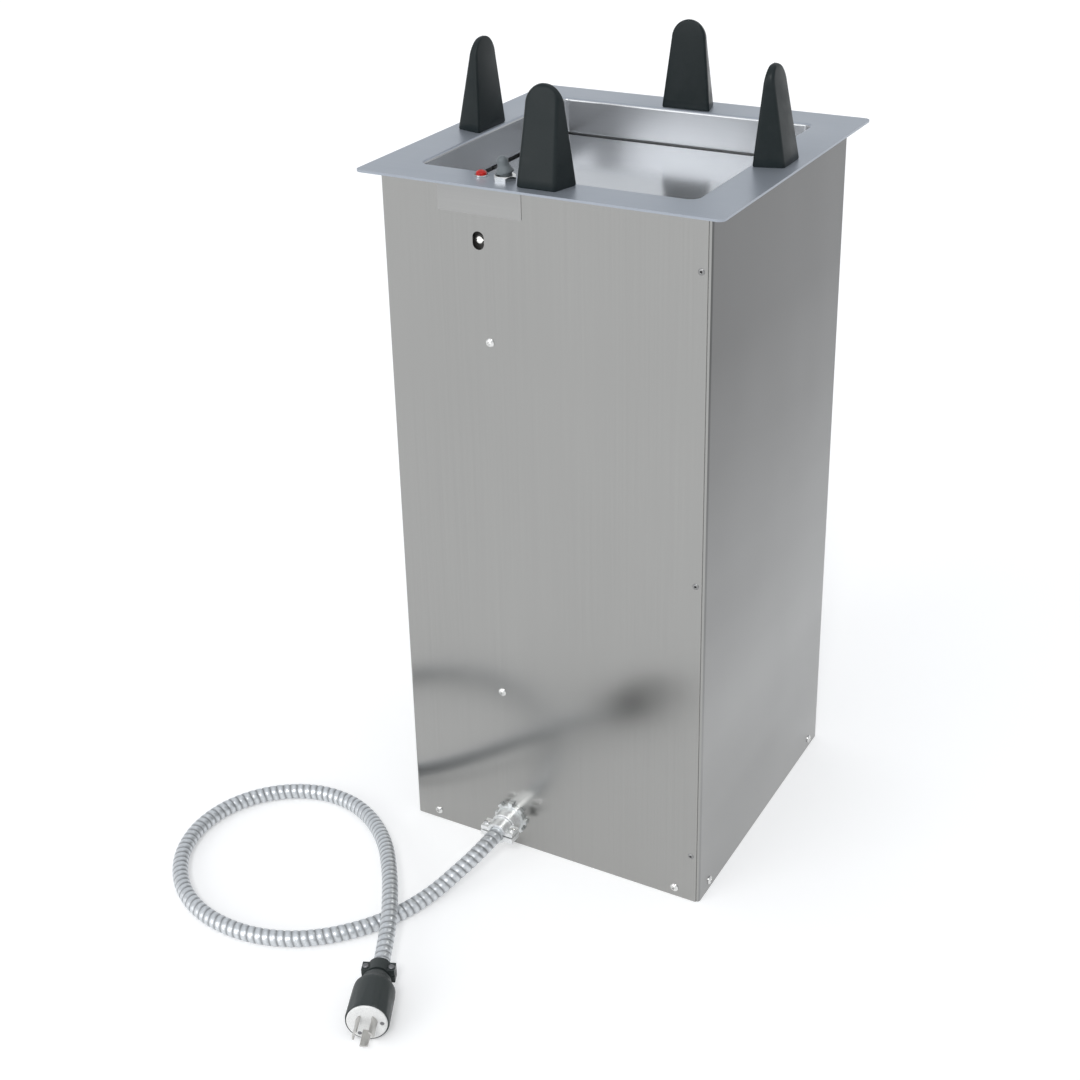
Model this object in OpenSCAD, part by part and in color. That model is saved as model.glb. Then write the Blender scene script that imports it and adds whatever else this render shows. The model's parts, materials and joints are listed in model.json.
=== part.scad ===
/* [Well] */
// Width of the square well in the counter flange
well_w = 254; // [250:1:262]
// Corner radius of the well
well_corner_r = 8; // [6:0.5:12]
// Depth of the collar that is folded down into the well
collar_d = 33; // [27:1:33.5]
// Depth of the empty platform below the flange
platform_drop = 34; // [32:1:40]
// Gap between the platform and the collar
platform_gap = 3; // [2:0.25:4]
// Way that the loaded platform can sink
travel = 440; // [380:5:480]

/* [Counter flange] */
// Thickness of the counter flange
flange_t = 2; // [1.5:0.1:2.5]
// Outside radius of the fold round the well
fold_r = 3; // [2.8:0.1:4]
// Overhang of the flange past the cabinet
flange_overhang = 15.5; // [12:0.5:20]
// Corner radius of the flange
flange_corner_r = 6; // [4:0.5:12]

/* [Cabinet] */
// Thickness of the cabinet's sheets
sheet_t = 1.2; // [0.9:0.1:1.5]
// Outside radius of the cabinet's bends
bend_r = 3; // [2.5:0.25:4]
// Space between the liner and the cabinet's walls
service_gap = 21; // [20.5:0.5:26]
// Width of the side panel's flanges behind the front and back walls
lap_w = 19; // [16:0.5:24]
// Width of the walls' top flanges
return_w = 8; // [6:0.5:8.5]
// Height of the bottom pan's lip
pan_lip = 12.5; // [12:0.1:12.9]
// Height of the base screws above the bottom
base_screw_z = 9; // [8:0.5:10]
// Distance of the base screws from the middle of each wall
base_screw_x = 128; // [110:1:130]
// Distances of the seam rivets below the flange
rivet_drops = [47.3, 327.5, 608.9]; // [20:0.1:620]

/* [Front] */
// Width of the bare label plate
label_w = 80; // [60:1:90]
// Height of the bare label plate
label_h = 23; // [18:1:26]
// Thickness of the label plate
label_t = 0.5; // [0.3:0.1:1]
// Middle of the label plate, across
label_x = -56; // [-62:1:-50]
// Distance of the label plate's middle below the flange
label_drop = 16; // [14:0.5:18]
// Width of the thermostat slot
slot_w = 11; // [9:0.5:12]
// Height of the thermostat slot
slot_h = 16; // [14:0.5:18]
// Middle of the thermostat slot, across
slot_x = -58; // [-60:1:-56]
// Distance of the thermostat slot's middle below the flange
slot_drop = 50; // [44:1:56]
// Middle of the wire channel and its two screws, across
channel_x = -50; // [-52:1:-48]
// Distances of the wire channel's screws below the flange
channel_screw_drops = [139.6, 489.5]; // [120:0.1:500]

/* [Plate guides] */
// Height of a plate guide above the flange
guide_h = 82; // [70:1:96]
// Width of a plate guide at its foot
guide_w = 49.5; // [44:0.5:56]
// Depth of a plate guide
guide_d = 26.5; // [24:0.5:30]
// Depth of a plate guide at its top
guide_top_d = 5.5; // [4:0.25:7]
// How far the well's side of a plate guide leans away from the well
guide_lean_in = 5.5; // [3:0.5:8]
// Distance of a plate guide from the well's edge
guide_setback = 4; // [3.5:0.25:5]
// Radius of a plate guide's round top
guide_top_r = 17.5; // [14:0.5:18]
// Angle between a plate guide's side and its radial direction
guide_side_a = 15; // [8:1:16]
// Half distance between a plate guide's screws
guide_screw_y = 12; // [10:0.5:14]

/* [Controls] */
// Position of the pilot lamp, across
pilot_x = -60; // [-61:0.5:-57]
// Distance of the pilot lamp behind the cabinet's front
pilot_in = 12.2; // [11:0.1:13]
// Radius of the pilot lamp's lens
pilot_r = 4.6; // [4:0.1:5.2]
// Position of the switch, across
switch_x = -37; // [-38:0.5:-34]
// Distance of the switch behind the cabinet's front
switch_in = 11.7; // [11:0.1:13]
// Width of the switch nut across its flats
switch_nut_af = 17.5; // [16:0.5:18.5]
// Height of the switch nut
switch_nut_h = 4; // [3:0.25:5]
// Radius of the ball at the foot of the switch boot
boot_r = 5.8; // [5:0.1:6.2]
// Height of the boot's tip above the flange
boot_h = 20; // [17:0.5:23]
// Lean of the switch lever from upright
lever_tilt = 12; // [8:1:14]

/* [Carriage] */
// Thickness of the platform's sheet
platform_t = 1.2; // [0.9:0.1:1.5]
// Height of the platform's skirt
skirt_h = 18; // [14:0.5:19]
// Height of the carriage's bars
bar_h = 20; // [16:0.5:24]
// Width of the carriage's bars
bar_w = 10; // [8:0.5:12]
// Wall of the carriage's bars
bar_t = 1.5; // [1:0.25:2]
// Radius of a roller
roller_r = 8; // [6:0.25:9]
// Width of a roller
roller_w = 8; // [6:0.25:8.5]
// Radius of a roller's pin
axle_r = 2.5; // [2:0.1:3]
// Distance between the upper and the lower roller
roller_spacing = 88; // [70:1:100]
// Thickness of the roller plates
plate_t = 2.5; // [2:0.1:3]
// Play between a roller and its rail
roller_play = 0.2; // [0.15:0.05:0.3]

/* [Springs] */
// Outside radius of a lifting spring
spring_r = 5; // [4:0.25:5.5]
// Wire thickness of a lifting spring
spring_wire = 1.4; // [1:0.1:1.6]
// Distances of the springs from the middle of a rail
spring_ys = [20, 34]; // [18:0.5:38]
// Length of a spring's wound part
spring_body = 110; // [90:1:116]

/* [Heater] */
// Height of the heated compartment's floor
floor_z = 95; // [80:1:110]
// Clear height from that floor to the sunk carriage
heater_space = 70.8; // [60:0.2:90]
// Radius of the heater's tube
heater_r = 4; // [3:0.25:4.5]
// Spacing of the heater's straight runs
heater_pitch = 50; // [44:1:56]
// Length of the heater's straight runs
heater_run = 150; // [120:1:160]

/* [Supply] */
// Middle of the conduit connector, across
conn_x = -44; // [-47:0.5:-41]
// Height of the conduit connector
conn_z = 30; // [29.6:0.1:34]
// Radius of the conduit over its ribs
conduit_r = 7.5; // [7:0.1:7.5]
// Depth of the conduit's ribs
rib_d = 0.8; // [0.4:0.1:1]
// Number of the conduit's ribs
rib_count = 132; // [100:1:200]
// Radius of the conduit's bore
conduit_bore_r = 5.6; // [4.8:0.1:5.8]
// Radius of the plug's body
plug_r = 19; // [18.8:0.1:20]
// Length of the plug's body, without its clamp
plug_len = 51; // [46:0.5:56]
// Length of the plug's blades
blade_len = 17.5; // [15:0.5:19]

/* [Hidden] */
$fn = 48;

// Clearances
fit = 0.1;        // round a screw or rivet in its hole
run_fit = 0.05;   // radial, on a turning pin
seat_gap = 0.3;   // between moving pieces at rest
fine = 0.01;      // overshoot of a cut

// Square rings from the well outwards
liner_t = 1;
liner_in = well_w / 2 + flange_t + seat_gap;
liner_out = liner_in + liner_t;
wall_in = liner_out + service_gap;
half = wall_in + sheet_t;
flange_half = half + flange_overhang;
lap_edge = half - bend_r;
weld = 1.6;       // leg of the bead that joins the flange to the walls

// Heights
bar_z_drop = platform_drop + platform_t + bar_h;
top_z = floor_z + heater_space + travel + bar_z_drop;
body_h = top_z - flange_t;
platform_z = top_z - platform_drop;
bar_z = top_z - bar_z_drop;
label_z = body_h - label_drop;
slot_z = body_h - slot_drop;

// Carriage, measured inwards from the walls
rail_t = 1.5;
rail_d = 11;
rail_y = roller_r + roller_play;
roller_x = wall_in - rail_t - 0.6 - roller_w / 2;
plate_x = roller_x - roller_w / 2 - 4.7 - plate_t;
roller_top_z = bar_z - roller_r - 2;
roller_low_z = roller_top_z - roller_spacing;
plate_top_z = platform_z - platform_t - 1;
plate_low_z = roller_low_z - 16;
plate_half = 13;
rack_half = spring_ys[1] + 8;
rack_t = 2;
rack_tip = 3.3;
slot_half = bar_w / 2 + 2;
hanger_z = body_h - 19;
hanger_t = 1.5;
hanger_lip = 14;
bumper_r = 6;
bumper_x = roller_x - 2;
bumper_soft = 1.2;
bumper_tip = 2.5;
spring_x = wall_in - 3.3 - spring_r;
spring_mid_z = (hanger_z + plate_low_z + rack_t) / 2;
hook_r = 2.5;
hook_hole_r = spring_wire / 2 + 0.8;

// Bottom compartment
pan_half = wall_in - fine;
stand_r = 5;
stand_x = 110;
lip_h = 15;
heater_rise = 18;
heater_z = floor_z + heater_rise;
heater_bend = 12;
heater_pin = 8;
heater_leg = floor_z / 4;
bracket_y = 45;
bracket_t = 1.5;
bracket_rim = 2;
heater_pin_r = 1.5;
heater_ends = [-1.5 * heater_pitch, 1.5 * heater_pitch];
run_y = heater_run / 2;

// Fasteners
screw_r = 2;
screw_head_r = 4;
screw_head_h = 2.2;
screw_l = 8;
rivet_r = 1.6;
rivet_head_r = 2.8;
rivet_head_h = 0.9;
rivet_x = half - 8.5;
guide_screw_u = 7.5;
guide_screw_l = 14;

// Controls
pilot_pos = [pilot_x, pilot_in - half];
switch_pos = [switch_x, switch_in - half];
pivot_z = top_z + boot_r - 0.3;
pin_r = 1.1;
pin_half = 4;
bushing_r = 5.8;
bushing_top = pivot_z - boot_r - seat_gap;
control_notch = [-74, -23];
pilot_body_r = 4.2;
pilot_bezel_r = 6;
thermo_size = [34, 15, 44];
thermo_rise = 11;
thermo_y = -wall_in + 4.3;
spindle_r = 3;
channel_w = 30;
channel_d = 14;
channel_low = 539;
channel_clear = 49;
channel_z0 = body_h - channel_low;
channel_z1 = slot_z - channel_clear;
thermo_low = slot_z + thermo_rise - thermo_size[2];
thermo_tab_h = 6;
capillary_x = 12;
capillary_r = 1;
bulb_r = 3;
bulb_drop = 330;
bulb_len = 90;
wire_r = 1.3;
wire_xs = [channel_x - 8, channel_x, channel_x + 12];
wire_y = -wall_in + 8.5;
thermo_tabs = [wire_xs[0], wire_xs[1]];
lead_z = 40;
supply_z = conn_z + 1.5;
supply_x = 3.5;
block = [60, 22, 42];
block_gap = 3;
block_y = -run_y - block_gap - block[1];
pocket_pitch = 11;
pocket = [9, 9, 14];
pocket_z = block[2] - pocket[2];
heater_lead_xs = [channel_x - 2 * pocket_pitch - 2, channel_x + 2 * pocket_pitch];

// Connector, from the wall outwards
conn_hole_r = 11.1;
conn_thread_r = 10.6;
conn_hub_r = 12.5;
conn_nut_h = 4;
conn_hub_end = 17;
conn_mouth = 31;
conn_insert = 11;
clamp_gap = 1;
conn_ear = 17;
conn_screw_x = conn_ear - 3.5;

// Route of the conduit, from the connector to the plug
plug_a = -66;
plug_start = [-48.6, -375.8, 18.6];
plug_insert = 6;
clamp_len = 15;
route = [
  [conn_x, -half - conn_mouth + conn_insert, conn_z],
  [conn_x, -half - conn_mouth + 2, conn_z], [conn_x, -half - conn_mouth - 6, conn_z],
  [-45.5, -204.1, 28.5], [-49.8, -221.7, 24], [-56.5, -240.1, 18], [-63.5, -258.1, 12],
  [-71.3, -278.9, 8.8], [-79.8, -298.7, 7.6], [-91.4, -320.5, 7.6], [-106.4, -340, 7.6],
  [-124.6, -357.8, 7.6], [-148.1, -373.2, 7.6], [-176, -383, 7.6], [-205, -386.1, 7.6],
  [-235.2, -382.6, 7.6], [-264.6, -371.4, 7.6], [-291, -351.6, 7.6], [-311.4, -324.5, 7.6],
  [-322.4, -293.4, 7.6], [-323.1, -262.7, 7.6], [-314.4, -233.6, 7.6], [-296.4, -208.2, 7.6],
  [-270.9, -189.7, 7.6], [-242, -181.2, 7.8], [-211.9, -183.5, 8.6], [-183.7, -195.5, 10.6],
  [-158.5, -213.9, 14], [-136.3, -235.4, 18], [-117.1, -258.9, 21.5], [-99.9, -282.4, 24],
  [-85.9, -303.8, 24.8], [-73.4, -324.1, 23.6],
  [-63, -344.4, 21], plug_start + 10 * [-cos(plug_a), -sin(plug_a), 0],
  plug_start + plug_insert * [cos(plug_a), sin(plug_a), 0]
];
route_steps = 8;
route_dense = spline(route, route_steps);
route_s = running_length(route_dense);
conduit_len = route_s[len(route_s) - 1];
echo(conduit_length = conduit_len);

// A smooth line through points: a cubic between each pair, its slopes taken from the neighbours
function slope(p, i) =
  i == 0 ? (p[1] - p[0]) : i == len(p) - 1 ? (p[i] - p[i - 1]) : (p[i + 1] - p[i - 1]) / 2;
function cubic(a, b, u, v, t) =
  (2 * t * t * t - 3 * t * t + 1) * a + (t * t * t - 2 * t * t + t) * u
  + (3 * t * t - 2 * t * t * t) * b + (t * t * t - t * t) * v;
function spline(p, n) = concat(
  [for (i = [0:len(p) - 2], k = [0:n - 1]) cubic(p[i], p[i + 1], slope(p, i), slope(p, i + 1), k / n)],
  [p[len(p) - 1]]);
function running_length(p) =
  [for (i = 0, s = 0; i < len(p); s = s + (i + 1 < len(p) ? norm(p[i + 1] - p[i]) : 0), i = i + 1) s];
function table(p, s, axis) = [for (i = [0:len(p) - 1]) [s[i], p[i][axis]]];
route_x = table(route_dense, route_s, 0);
route_y = table(route_dense, route_s, 1);
route_zt = table(route_dense, route_s, 2);
function route_at(s) = [lookup(s, route_x), lookup(s, route_y), lookup(s, route_zt)];
function unit(v) = v / norm(v);
function route_dir(s) = unit(route_at(min(s + 2, conduit_len)) - route_at(max(s - 2, 0)));

// One ring of a tube, round the route at the length s
function ring(s, r, sides) =
  let (t = route_dir(s), c = route_at(s), n = unit(cross([0, 0, 1], t)), b = cross(t, n))
  [for (k = [0:sides - 1]) let (a = 360 * (k + 0.5) / sides) c + r * (cos(a) * n + sin(a) * b)];
function band(start, rings, sides, flip) =
  [for (i = [0:rings - 2], k = [0:sides - 1])
    let (a = start + i * sides + k, b = start + i * sides + (k + 1) % sides, c = a + sides, d = b + sides)
    each flip ? [[a, c, b], [b, c, d]] : [[a, b, c], [b, d, c]]];
function end_cap(outer, inner, sides, flip) =
  [for (k = [0:sides - 1])
    let (a = outer + k, b = outer + (k + 1) % sides, c = inner + k, d = inner + (k + 1) % sides)
    each flip ? [[a, b, c], [b, d, c]] : [[a, c, b], [b, c, d]]];

// Flat outlines
module rounded_rect(half_x, half_y, r) {
  square([2 * (half_x - r), 2 * half_y], center = true);
  square([2 * half_x, 2 * (half_y - r)], center = true);
  for (sx = [-1, 1], sy = [-1, 1]) translate([sx * (half_x - r), sy * (half_y - r)]) circle(r);
}

// Carries a section, drawn as outward offset and height, round a square ring with round corners
module square_sweep(ring_half, r) {
  for (k = [0:3]) rotate(90 * k) {
    translate([ring_half, 0, 0]) rotate([90, 0, 0])
      linear_extrude(2 * (ring_half - r), center = true) children();
    translate([ring_half - r, ring_half - r, 0]) rotate_extrude(angle = 90)
      translate([r, 0]) children();
  }
}

// A quarter bend of a sheet, its outer arc in the quadrant towards qx and qy
module bend_section(r, t, qx, qy) {
  intersection() {
    difference() {
      circle(r);
      circle(r - t);
    }
    translate([qx < 0 ? -r : 0, qy < 0 ? -r : 0]) square(r);
  }
}

// A pan or dome headed screw along -Z, its seat at the origin
module pan_screw(head_r, head_h, shank_r, shank_l) {
  rotate_extrude() {
    translate([0, -shank_l]) square([shank_r, shank_l + fine]);
    intersection() {
      translate([0, 0]) square([head_r, head_h]);
      translate([0, head_h - head_r * 1.5]) circle(head_r * 1.5);
    }
  }
}

// Places children on the walls: local +Z points out of the wall named by k (0 front, then right)
module on_wall(k, across, z, out) {
  rotate(90 * k) translate([across, -out, z]) rotate([90, 0, 0]) children();
}

// Well and cabinet
module top_flange() {
  color("lightsteelblue") difference() {
    union() {
      translate([0, 0, body_h]) linear_extrude(flange_t) difference() {
        rounded_rect(flange_half, flange_half, flange_corner_r);
        rounded_rect(well_w / 2 + fold_r, well_w / 2 + fold_r, well_corner_r + fold_r);
      }
      translate([0, 0, top_z]) square_sweep(well_w / 2, well_corner_r) {
        union() {
          translate([fold_r, -fold_r]) bend_section(fold_r, flange_t, -1, 1);
          translate([0, -collar_d]) square([flange_t, collar_d - fold_r]);
        }
      }
      translate([0, 0, body_h]) square_sweep(half + fine, bend_r)
        polygon([[0, flange_t / 2], [weld, flange_t / 2], [weld, 0], [0, -weld]]);
    }
    translate([pilot_pos[0], pilot_pos[1], body_h - fine]) cylinder(h = flange_t + 1, r = pilot_body_r + fit);
    translate([switch_pos[0], switch_pos[1], body_h - fine]) cylinder(h = flange_t + 1, r = bushing_r + fit);
    guide_screw_places() translate([0, 0, -fine]) cylinder(h = flange_t + 1, r = screw_r + fit);
  }
}

module wall_ring(half_x, half_y, r) {
  difference() {
    rounded_rect(half_x, half_y, r);
    rounded_rect(half_x - sheet_t, half_y - sheet_t, r - sheet_t);
  }
}

module cabinet_wrap() {
  color("silver") difference() {
    union() {
      linear_extrude(body_h) intersection() {
        wall_ring(half, half, bend_r);
        translate([-half - 1, -half - 1]) square([half + 1 + lap_edge, 2 * half + 2]);
      }
      translate([0, 0, body_h - sheet_t]) linear_extrude(sheet_t) intersection() {
        difference() {
          square(2 * wall_in + sheet_t, center = true);
          square(2 * (wall_in - return_w), center = true);
          translate([control_notch[0], -half]) square([control_notch[1] - control_notch[0], 2 * return_w]);
        }
        translate([-half, -half]) square([half + wall_in - return_w, 2 * half]);
      }
    }
    on_wall(0, slot_x, slot_z, half + 1) translate([0, 0, -sheet_t - 2]) linear_extrude(sheet_t + 3)
      stadium(slot_w, slot_h);
    for (d = channel_screw_drops) on_wall(0, channel_x, body_h - d, half) wall_hole(screw_r + fit);
    on_wall(0, conn_x, conn_z, half) wall_hole(conn_hole_r);
    for (x = [-base_screw_x, base_screw_x], k = [0, 2, 3]) on_wall(k, x, base_screw_z, half)
      wall_hole(screw_r + fit);
    for (d = rivet_drops) {
      on_wall(0, rivet_x, body_h - d, half) wall_hole(rivet_r + fit);
      on_wall(2, -rivet_x, body_h - d, half) wall_hole(rivet_r + fit);
    }
  }
}

module stadium(w, h) {
  square([w, h - w], center = true);
  for (s = [-1, 1]) translate([0, s * (h - w) / 2]) circle(w / 2);
}

// A hole through a wall and the piece behind it
module wall_hole(r) {
  translate([0, 0, -3 * sheet_t - 1]) cylinder(h = 3 * sheet_t + 2, r = r);
}

module side_panel() {
  color("darkgray") difference() {
    union() {
      linear_extrude(body_h) intersection() {
        wall_ring(half, half - sheet_t, bend_r);
        translate([lap_edge, -half]) square([bend_r + 1, 2 * half]);
      }
      translate([0, 0, pan_lip + 1]) linear_extrude(body_h - pan_lip - 3) intersection() {
        wall_ring(half, half - sheet_t, bend_r);
        translate([half - lap_w, -half]) square([lap_w, 2 * half]);
      }
      translate([wall_in - return_w, -wall_in + return_w, body_h - sheet_t])
        cube([return_w + sheet_t / 2, 2 * (wall_in - return_w), sheet_t]);
    }
    for (x = [-base_screw_x, base_screw_x]) on_wall(1, x, base_screw_z, half) wall_hole(screw_r + fit);
    for (d = rivet_drops) {
      on_wall(0, rivet_x, body_h - d, half) wall_hole(rivet_r + fit);
      on_wall(2, -rivet_x, body_h - d, half) wall_hole(rivet_r + fit);
    }
  }
}

module bottom_pan() {
  color("gray") difference() {
    union() {
      linear_extrude(sheet_t) rounded_rect(pan_half - bend_r, pan_half - bend_r, fine);
      square_sweep(pan_half - bend_r, fine) union() {
        translate([0, bend_r]) bend_section(bend_r, sheet_t, 1, -1);
        translate([bend_r - sheet_t, bend_r]) square([sheet_t, pan_lip - bend_r]);
      }
    }
    for (x = [-base_screw_x, base_screw_x], k = [0:3]) on_wall(k, x, base_screw_z, half)
      wall_hole(screw_r + fit);
    for (s = [0, 1]) mirror([0, s, 0]) translate([lap_edge - seat_gap, pan_half - bend_r, -1])
      cube([2 * bend_r, 2 * bend_r, pan_lip + 2]);
    for (sx = [-1, 1], sy = [-1, 1]) translate([sx * stand_x, sy * stand_x, -1])
      cylinder(h = 4, r = screw_r + fit);
  }
}

module label_plate() {
  color("gainsboro") on_wall(0, label_x, label_z, half)
    linear_extrude(label_t) rounded_rect(label_w / 2, label_h / 2, 1.5);
}

module seam_rivets() {
  color("dimgray") for (d = rivet_drops, k = [0, 2])
    on_wall(k, k == 0 ? rivet_x : -rivet_x, body_h - d, half)
      pan_screw(rivet_head_r, rivet_head_h, rivet_r, 2 * sheet_t + 1);
}

module base_screws() {
  color("lightgray") for (x = [-base_screw_x, base_screw_x], k = [0:3])
    on_wall(k, x, base_screw_z, half) pan_screw(screw_head_r, screw_head_h, screw_r, screw_l);
}

module front_screws() {
  color("lightgray") for (d = channel_screw_drops)
    on_wall(0, channel_x, body_h - d, half) pan_screw(screw_head_r, screw_head_h, screw_r, screw_l);
}

// Plate guides: foot on the flange, local +X away from the well. The plan at each height is a
// trapezoid with soft corners, which narrows and thins to a round top
guide_top_c = guide_h - guide_top_r;
guide_crown_r = 0.58 * guide_top_d;
guide_lip_r = 0.33 * guide_top_d;
guide_lean_out = guide_d - guide_top_d - guide_lean_in;
guide_levels = concat([0, 1.2], [for (k = [1:4]) k * (guide_top_c - 4) / 4],
  [for (a = [0:12:72]) guide_top_c + guide_top_r * sin(a)], [guide_h - 0.25]);
function round_drop(r, z) = r - sqrt(r * r - z * z);
function guide_half_w(z) = z < guide_top_c
  ? guide_w / 2 + (guide_top_r - guide_w / 2) * z / guide_top_c
  : sqrt(pow(guide_top_r, 2) - pow(z - guide_top_c, 2));
function guide_outer(z) = guide_d - guide_lean_out * z / guide_h
  - round_drop(guide_crown_r, max(0, z - guide_h + guide_crown_r));
function guide_inner(z) = guide_lean_in * z / guide_h
  + round_drop(guide_lip_r, max(0, z - guide_h + guide_lip_r));
function guide_foot(z) = z == 0 ? 0.6 : 0;
function soft_corner(v, p, n, c) =
  let (e = unit(p - v), g = unit(n - v)) [v + c * e, v + 0.3 * c * (e + g), v + c * g];
function soft_outline(q, c) =
  [for (i = [0:len(q) - 1]) each soft_corner(q[i], q[(i + len(q) - 1) % len(q)], q[(i + 1) % len(q)], c)];
function guide_plan(z) =
  let (f = guide_foot(z), u0 = guide_inner(z) + f, u1 = guide_outer(z) - f, a = guide_half_w(z) - f,
    b = max(a / 3, a - (u1 - u0) * tan(guide_side_a)), c = min(3, 0.4 * b, 0.4 * (u1 - u0)))
  soft_outline([[u0, -a], [u1, -b], [u1, b], [u0, a]], c);

// A solid through plan outlines at rising heights
module loft(plans, heights) {
  n = len(plans[0]);
  m = len(plans);
  polyhedron(
    points = [for (i = [0:m - 1]) for (p = plans[i]) [p[0], p[1], heights[i]]],
    faces = concat(band(0, m, n, true),
      [for (k = [1:n - 2]) [0, k, k + 1]],
      [for (k = [1:n - 2]) [(m - 1) * n, (m - 1) * n + k + 1, (m - 1) * n + k]]));
}

module guide() {
  difference() {
    loft([for (z = guide_levels) guide_plan(z)], guide_levels);
    for (s = [-1, 1]) translate([guide_screw_u, s * guide_screw_y, -1])
      cylinder(h = guide_screw_l + 1.5, r = screw_r + run_fit);
  }
}

module place_guide(k) {
  color("#23282a") rotate(90 * k) translate([well_w / 2 + guide_setback, 0, top_z]) guide();
}

module guide_right() { place_guide(0); }
module guide_back() { place_guide(1); }
module guide_left() { place_guide(2); }
module guide_front() { place_guide(3); }

module guide_screw_places() {
  for (k = [0:3], s = [-1, 1]) rotate(90 * k)
    translate([well_w / 2 + guide_setback + guide_screw_u, s * guide_screw_y, body_h]) children();
}

module guide_screws() {
  color("silver") guide_screw_places() rotate([180, 0, 0])
    pan_screw(screw_head_r, screw_head_h, screw_r, flange_t + guide_screw_l - 1);
}

// Liner round the well
module liner_panel(from, to) {
  translate([from, -liner_out, floor_z]) cube([to - from, liner_t, body_h - floor_z - 1]);
}

module liner_front() { color("gainsboro") liner_panel(-liner_out, liner_out); }
module liner_back() { color("gainsboro") rotate(180) liner_panel(-liner_out, liner_out); }
module liner_sides() {
  liner_panel(-liner_in, -slot_half);
  liner_panel(slot_half, liner_in);
}
module liner_right() { color("gainsboro") rotate(90) liner_sides(); }
module liner_left() { color("gainsboro") rotate(-90) liner_sides(); }

module heat_floor() {
  color("lightgray") difference() {
    translate([0, 0, floor_z]) {
      linear_extrude(sheet_t) rounded_rect(liner_in - bend_r, liner_in - bend_r, fine);
      square_sweep(liner_in - bend_r, fine) union() {
        translate([0, bend_r]) bend_section(bend_r, sheet_t, 1, -1);
        translate([bend_r - sheet_t, bend_r]) square([sheet_t, lip_h - bend_r]);
      }
    }
    for (x = heater_ends) translate([x, -run_y, floor_z - 1]) cylinder(h = 4, r = heater_r + 2);
    for (sx = [-1, 1], sy = [-1, 1]) translate([sx * stand_x, sy * stand_x, floor_z - 1])
      cylinder(h = 4, r = screw_r + fit);
  }
}

// Stands between the pan and the heated floor, each with its two screws' ends
module floor_stands() {
  color("silver") for (sx = [-1, 1], sy = [-1, 1]) translate([sx * stand_x, sy * stand_x, 0]) {
    translate([0, 0, sheet_t]) cylinder(h = floor_z - sheet_t, r = stand_r);
    translate([0, 0, 0.1]) cylinder(h = floor_z + sheet_t - 0.1, r = screw_r);
    translate([0, 0, floor_z + sheet_t]) cylinder(h = 2, r = screw_head_r);
  }
}

// Rails, hangers and springs
module rail_section() {
  difference() {
    translate([-rail_d - rail_t, -rail_y - rail_t]) square([rail_d + rail_t, 2 * (rail_y + rail_t)]);
    translate([-rail_d - rail_t - fine, -rail_y]) square([rail_d + fine, 2 * rail_y]);
  }
}

module rail() {
  translate([wall_in, 0, pan_lip + 1]) linear_extrude(hanger_z - pan_lip - 1) rail_section();
}

module rail_right() { color("lightgray") rail(); }
module rail_left() { color("lightgray") rotate(180) rail(); }

module both_sides() {
  for (a = [0, 180]) rotate(a) children();
}

module spring_places() {
  for (y = spring_ys, s = [-1, 1]) translate([spring_x, s * y, 0]) children();
}

module spring_hangers() {
  color("silver") both_sides() difference() {
    union() {
      translate([plate_x, -rack_half, hanger_z]) cube([wall_in - plate_x, 2 * rack_half, hanger_t]);
      translate([wall_in - hanger_t, -rack_half, hanger_z]) cube([hanger_t, 2 * rack_half, hanger_lip]);
    }
    spring_places() translate([0, 0, hanger_z - 1]) cylinder(h = hanger_t + 2, r = hook_hole_r);
    translate([bumper_x, 0, hanger_z - 1]) cylinder(h = hanger_t + 2, r = screw_r + fit);
  }
}

module stop_bumpers() {
  low = plate_top_z + seat_gap;
  top = hanger_z + hanger_t;
  color("black") both_sides() translate([bumper_x, 0, 0]) {
    rotate_extrude() polygon([
      [0, low], [bumper_r - bumper_soft, low], [bumper_r, low + bumper_soft], [bumper_r, hanger_z],
      [screw_r, hanger_z], [screw_r, top], [screw_r + bumper_soft, top], [screw_r, top + bumper_tip],
      [0, top + bumper_tip]
    ]);
  }
}

// A spring's hook: a straight end through the hole, then a half turn that rests on the sheet
module spring_end(from_z, sheet_z) {
  translate([0, 0, from_z]) cylinder(h = sheet_z + 2 * spring_wire - from_z, r = spring_wire / 2, $fn = 16);
  translate([-hook_r, 0, sheet_z + 2 * spring_wire]) rotate([90, 0, 0])
    rotate_extrude(angle = 180) translate([hook_r, 0]) circle(spring_wire / 2, $fn = 16);
  translate([-2 * hook_r, 0, sheet_z + 0.1])
    cylinder(h = 2 * spring_wire - 0.1, r = spring_wire / 2, $fn = 16);
}

module spring_half(sheet_z) {
  top = spring_body / 2;
  rotate_extrude() polygon([
    [spring_r - spring_wire, 0], [spring_r, 0], [spring_r, top - spring_wire],
    [spring_r - spring_wire / 2, top], [spring_wire / 2, top + 2.5],
    [spring_wire / 2, top + 2.5 - spring_wire], [spring_r - spring_wire, top - spring_wire]
  ]);
  spring_end(top + 2.5 - spring_wire, sheet_z);
}

module spring_set() {
  top_sheet = hanger_z + hanger_t - spring_mid_z;
  low_sheet = spring_mid_z - plate_low_z;
  spring_places() translate([0, 0, spring_mid_z]) {
    spring_half(top_sheet);
    mirror([0, 0, 1]) spring_half(low_sheet);
  }
}

module springs_right() { color("silver") spring_set(); }
module springs_left() { color("silver") rotate(180) spring_set(); }

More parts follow.
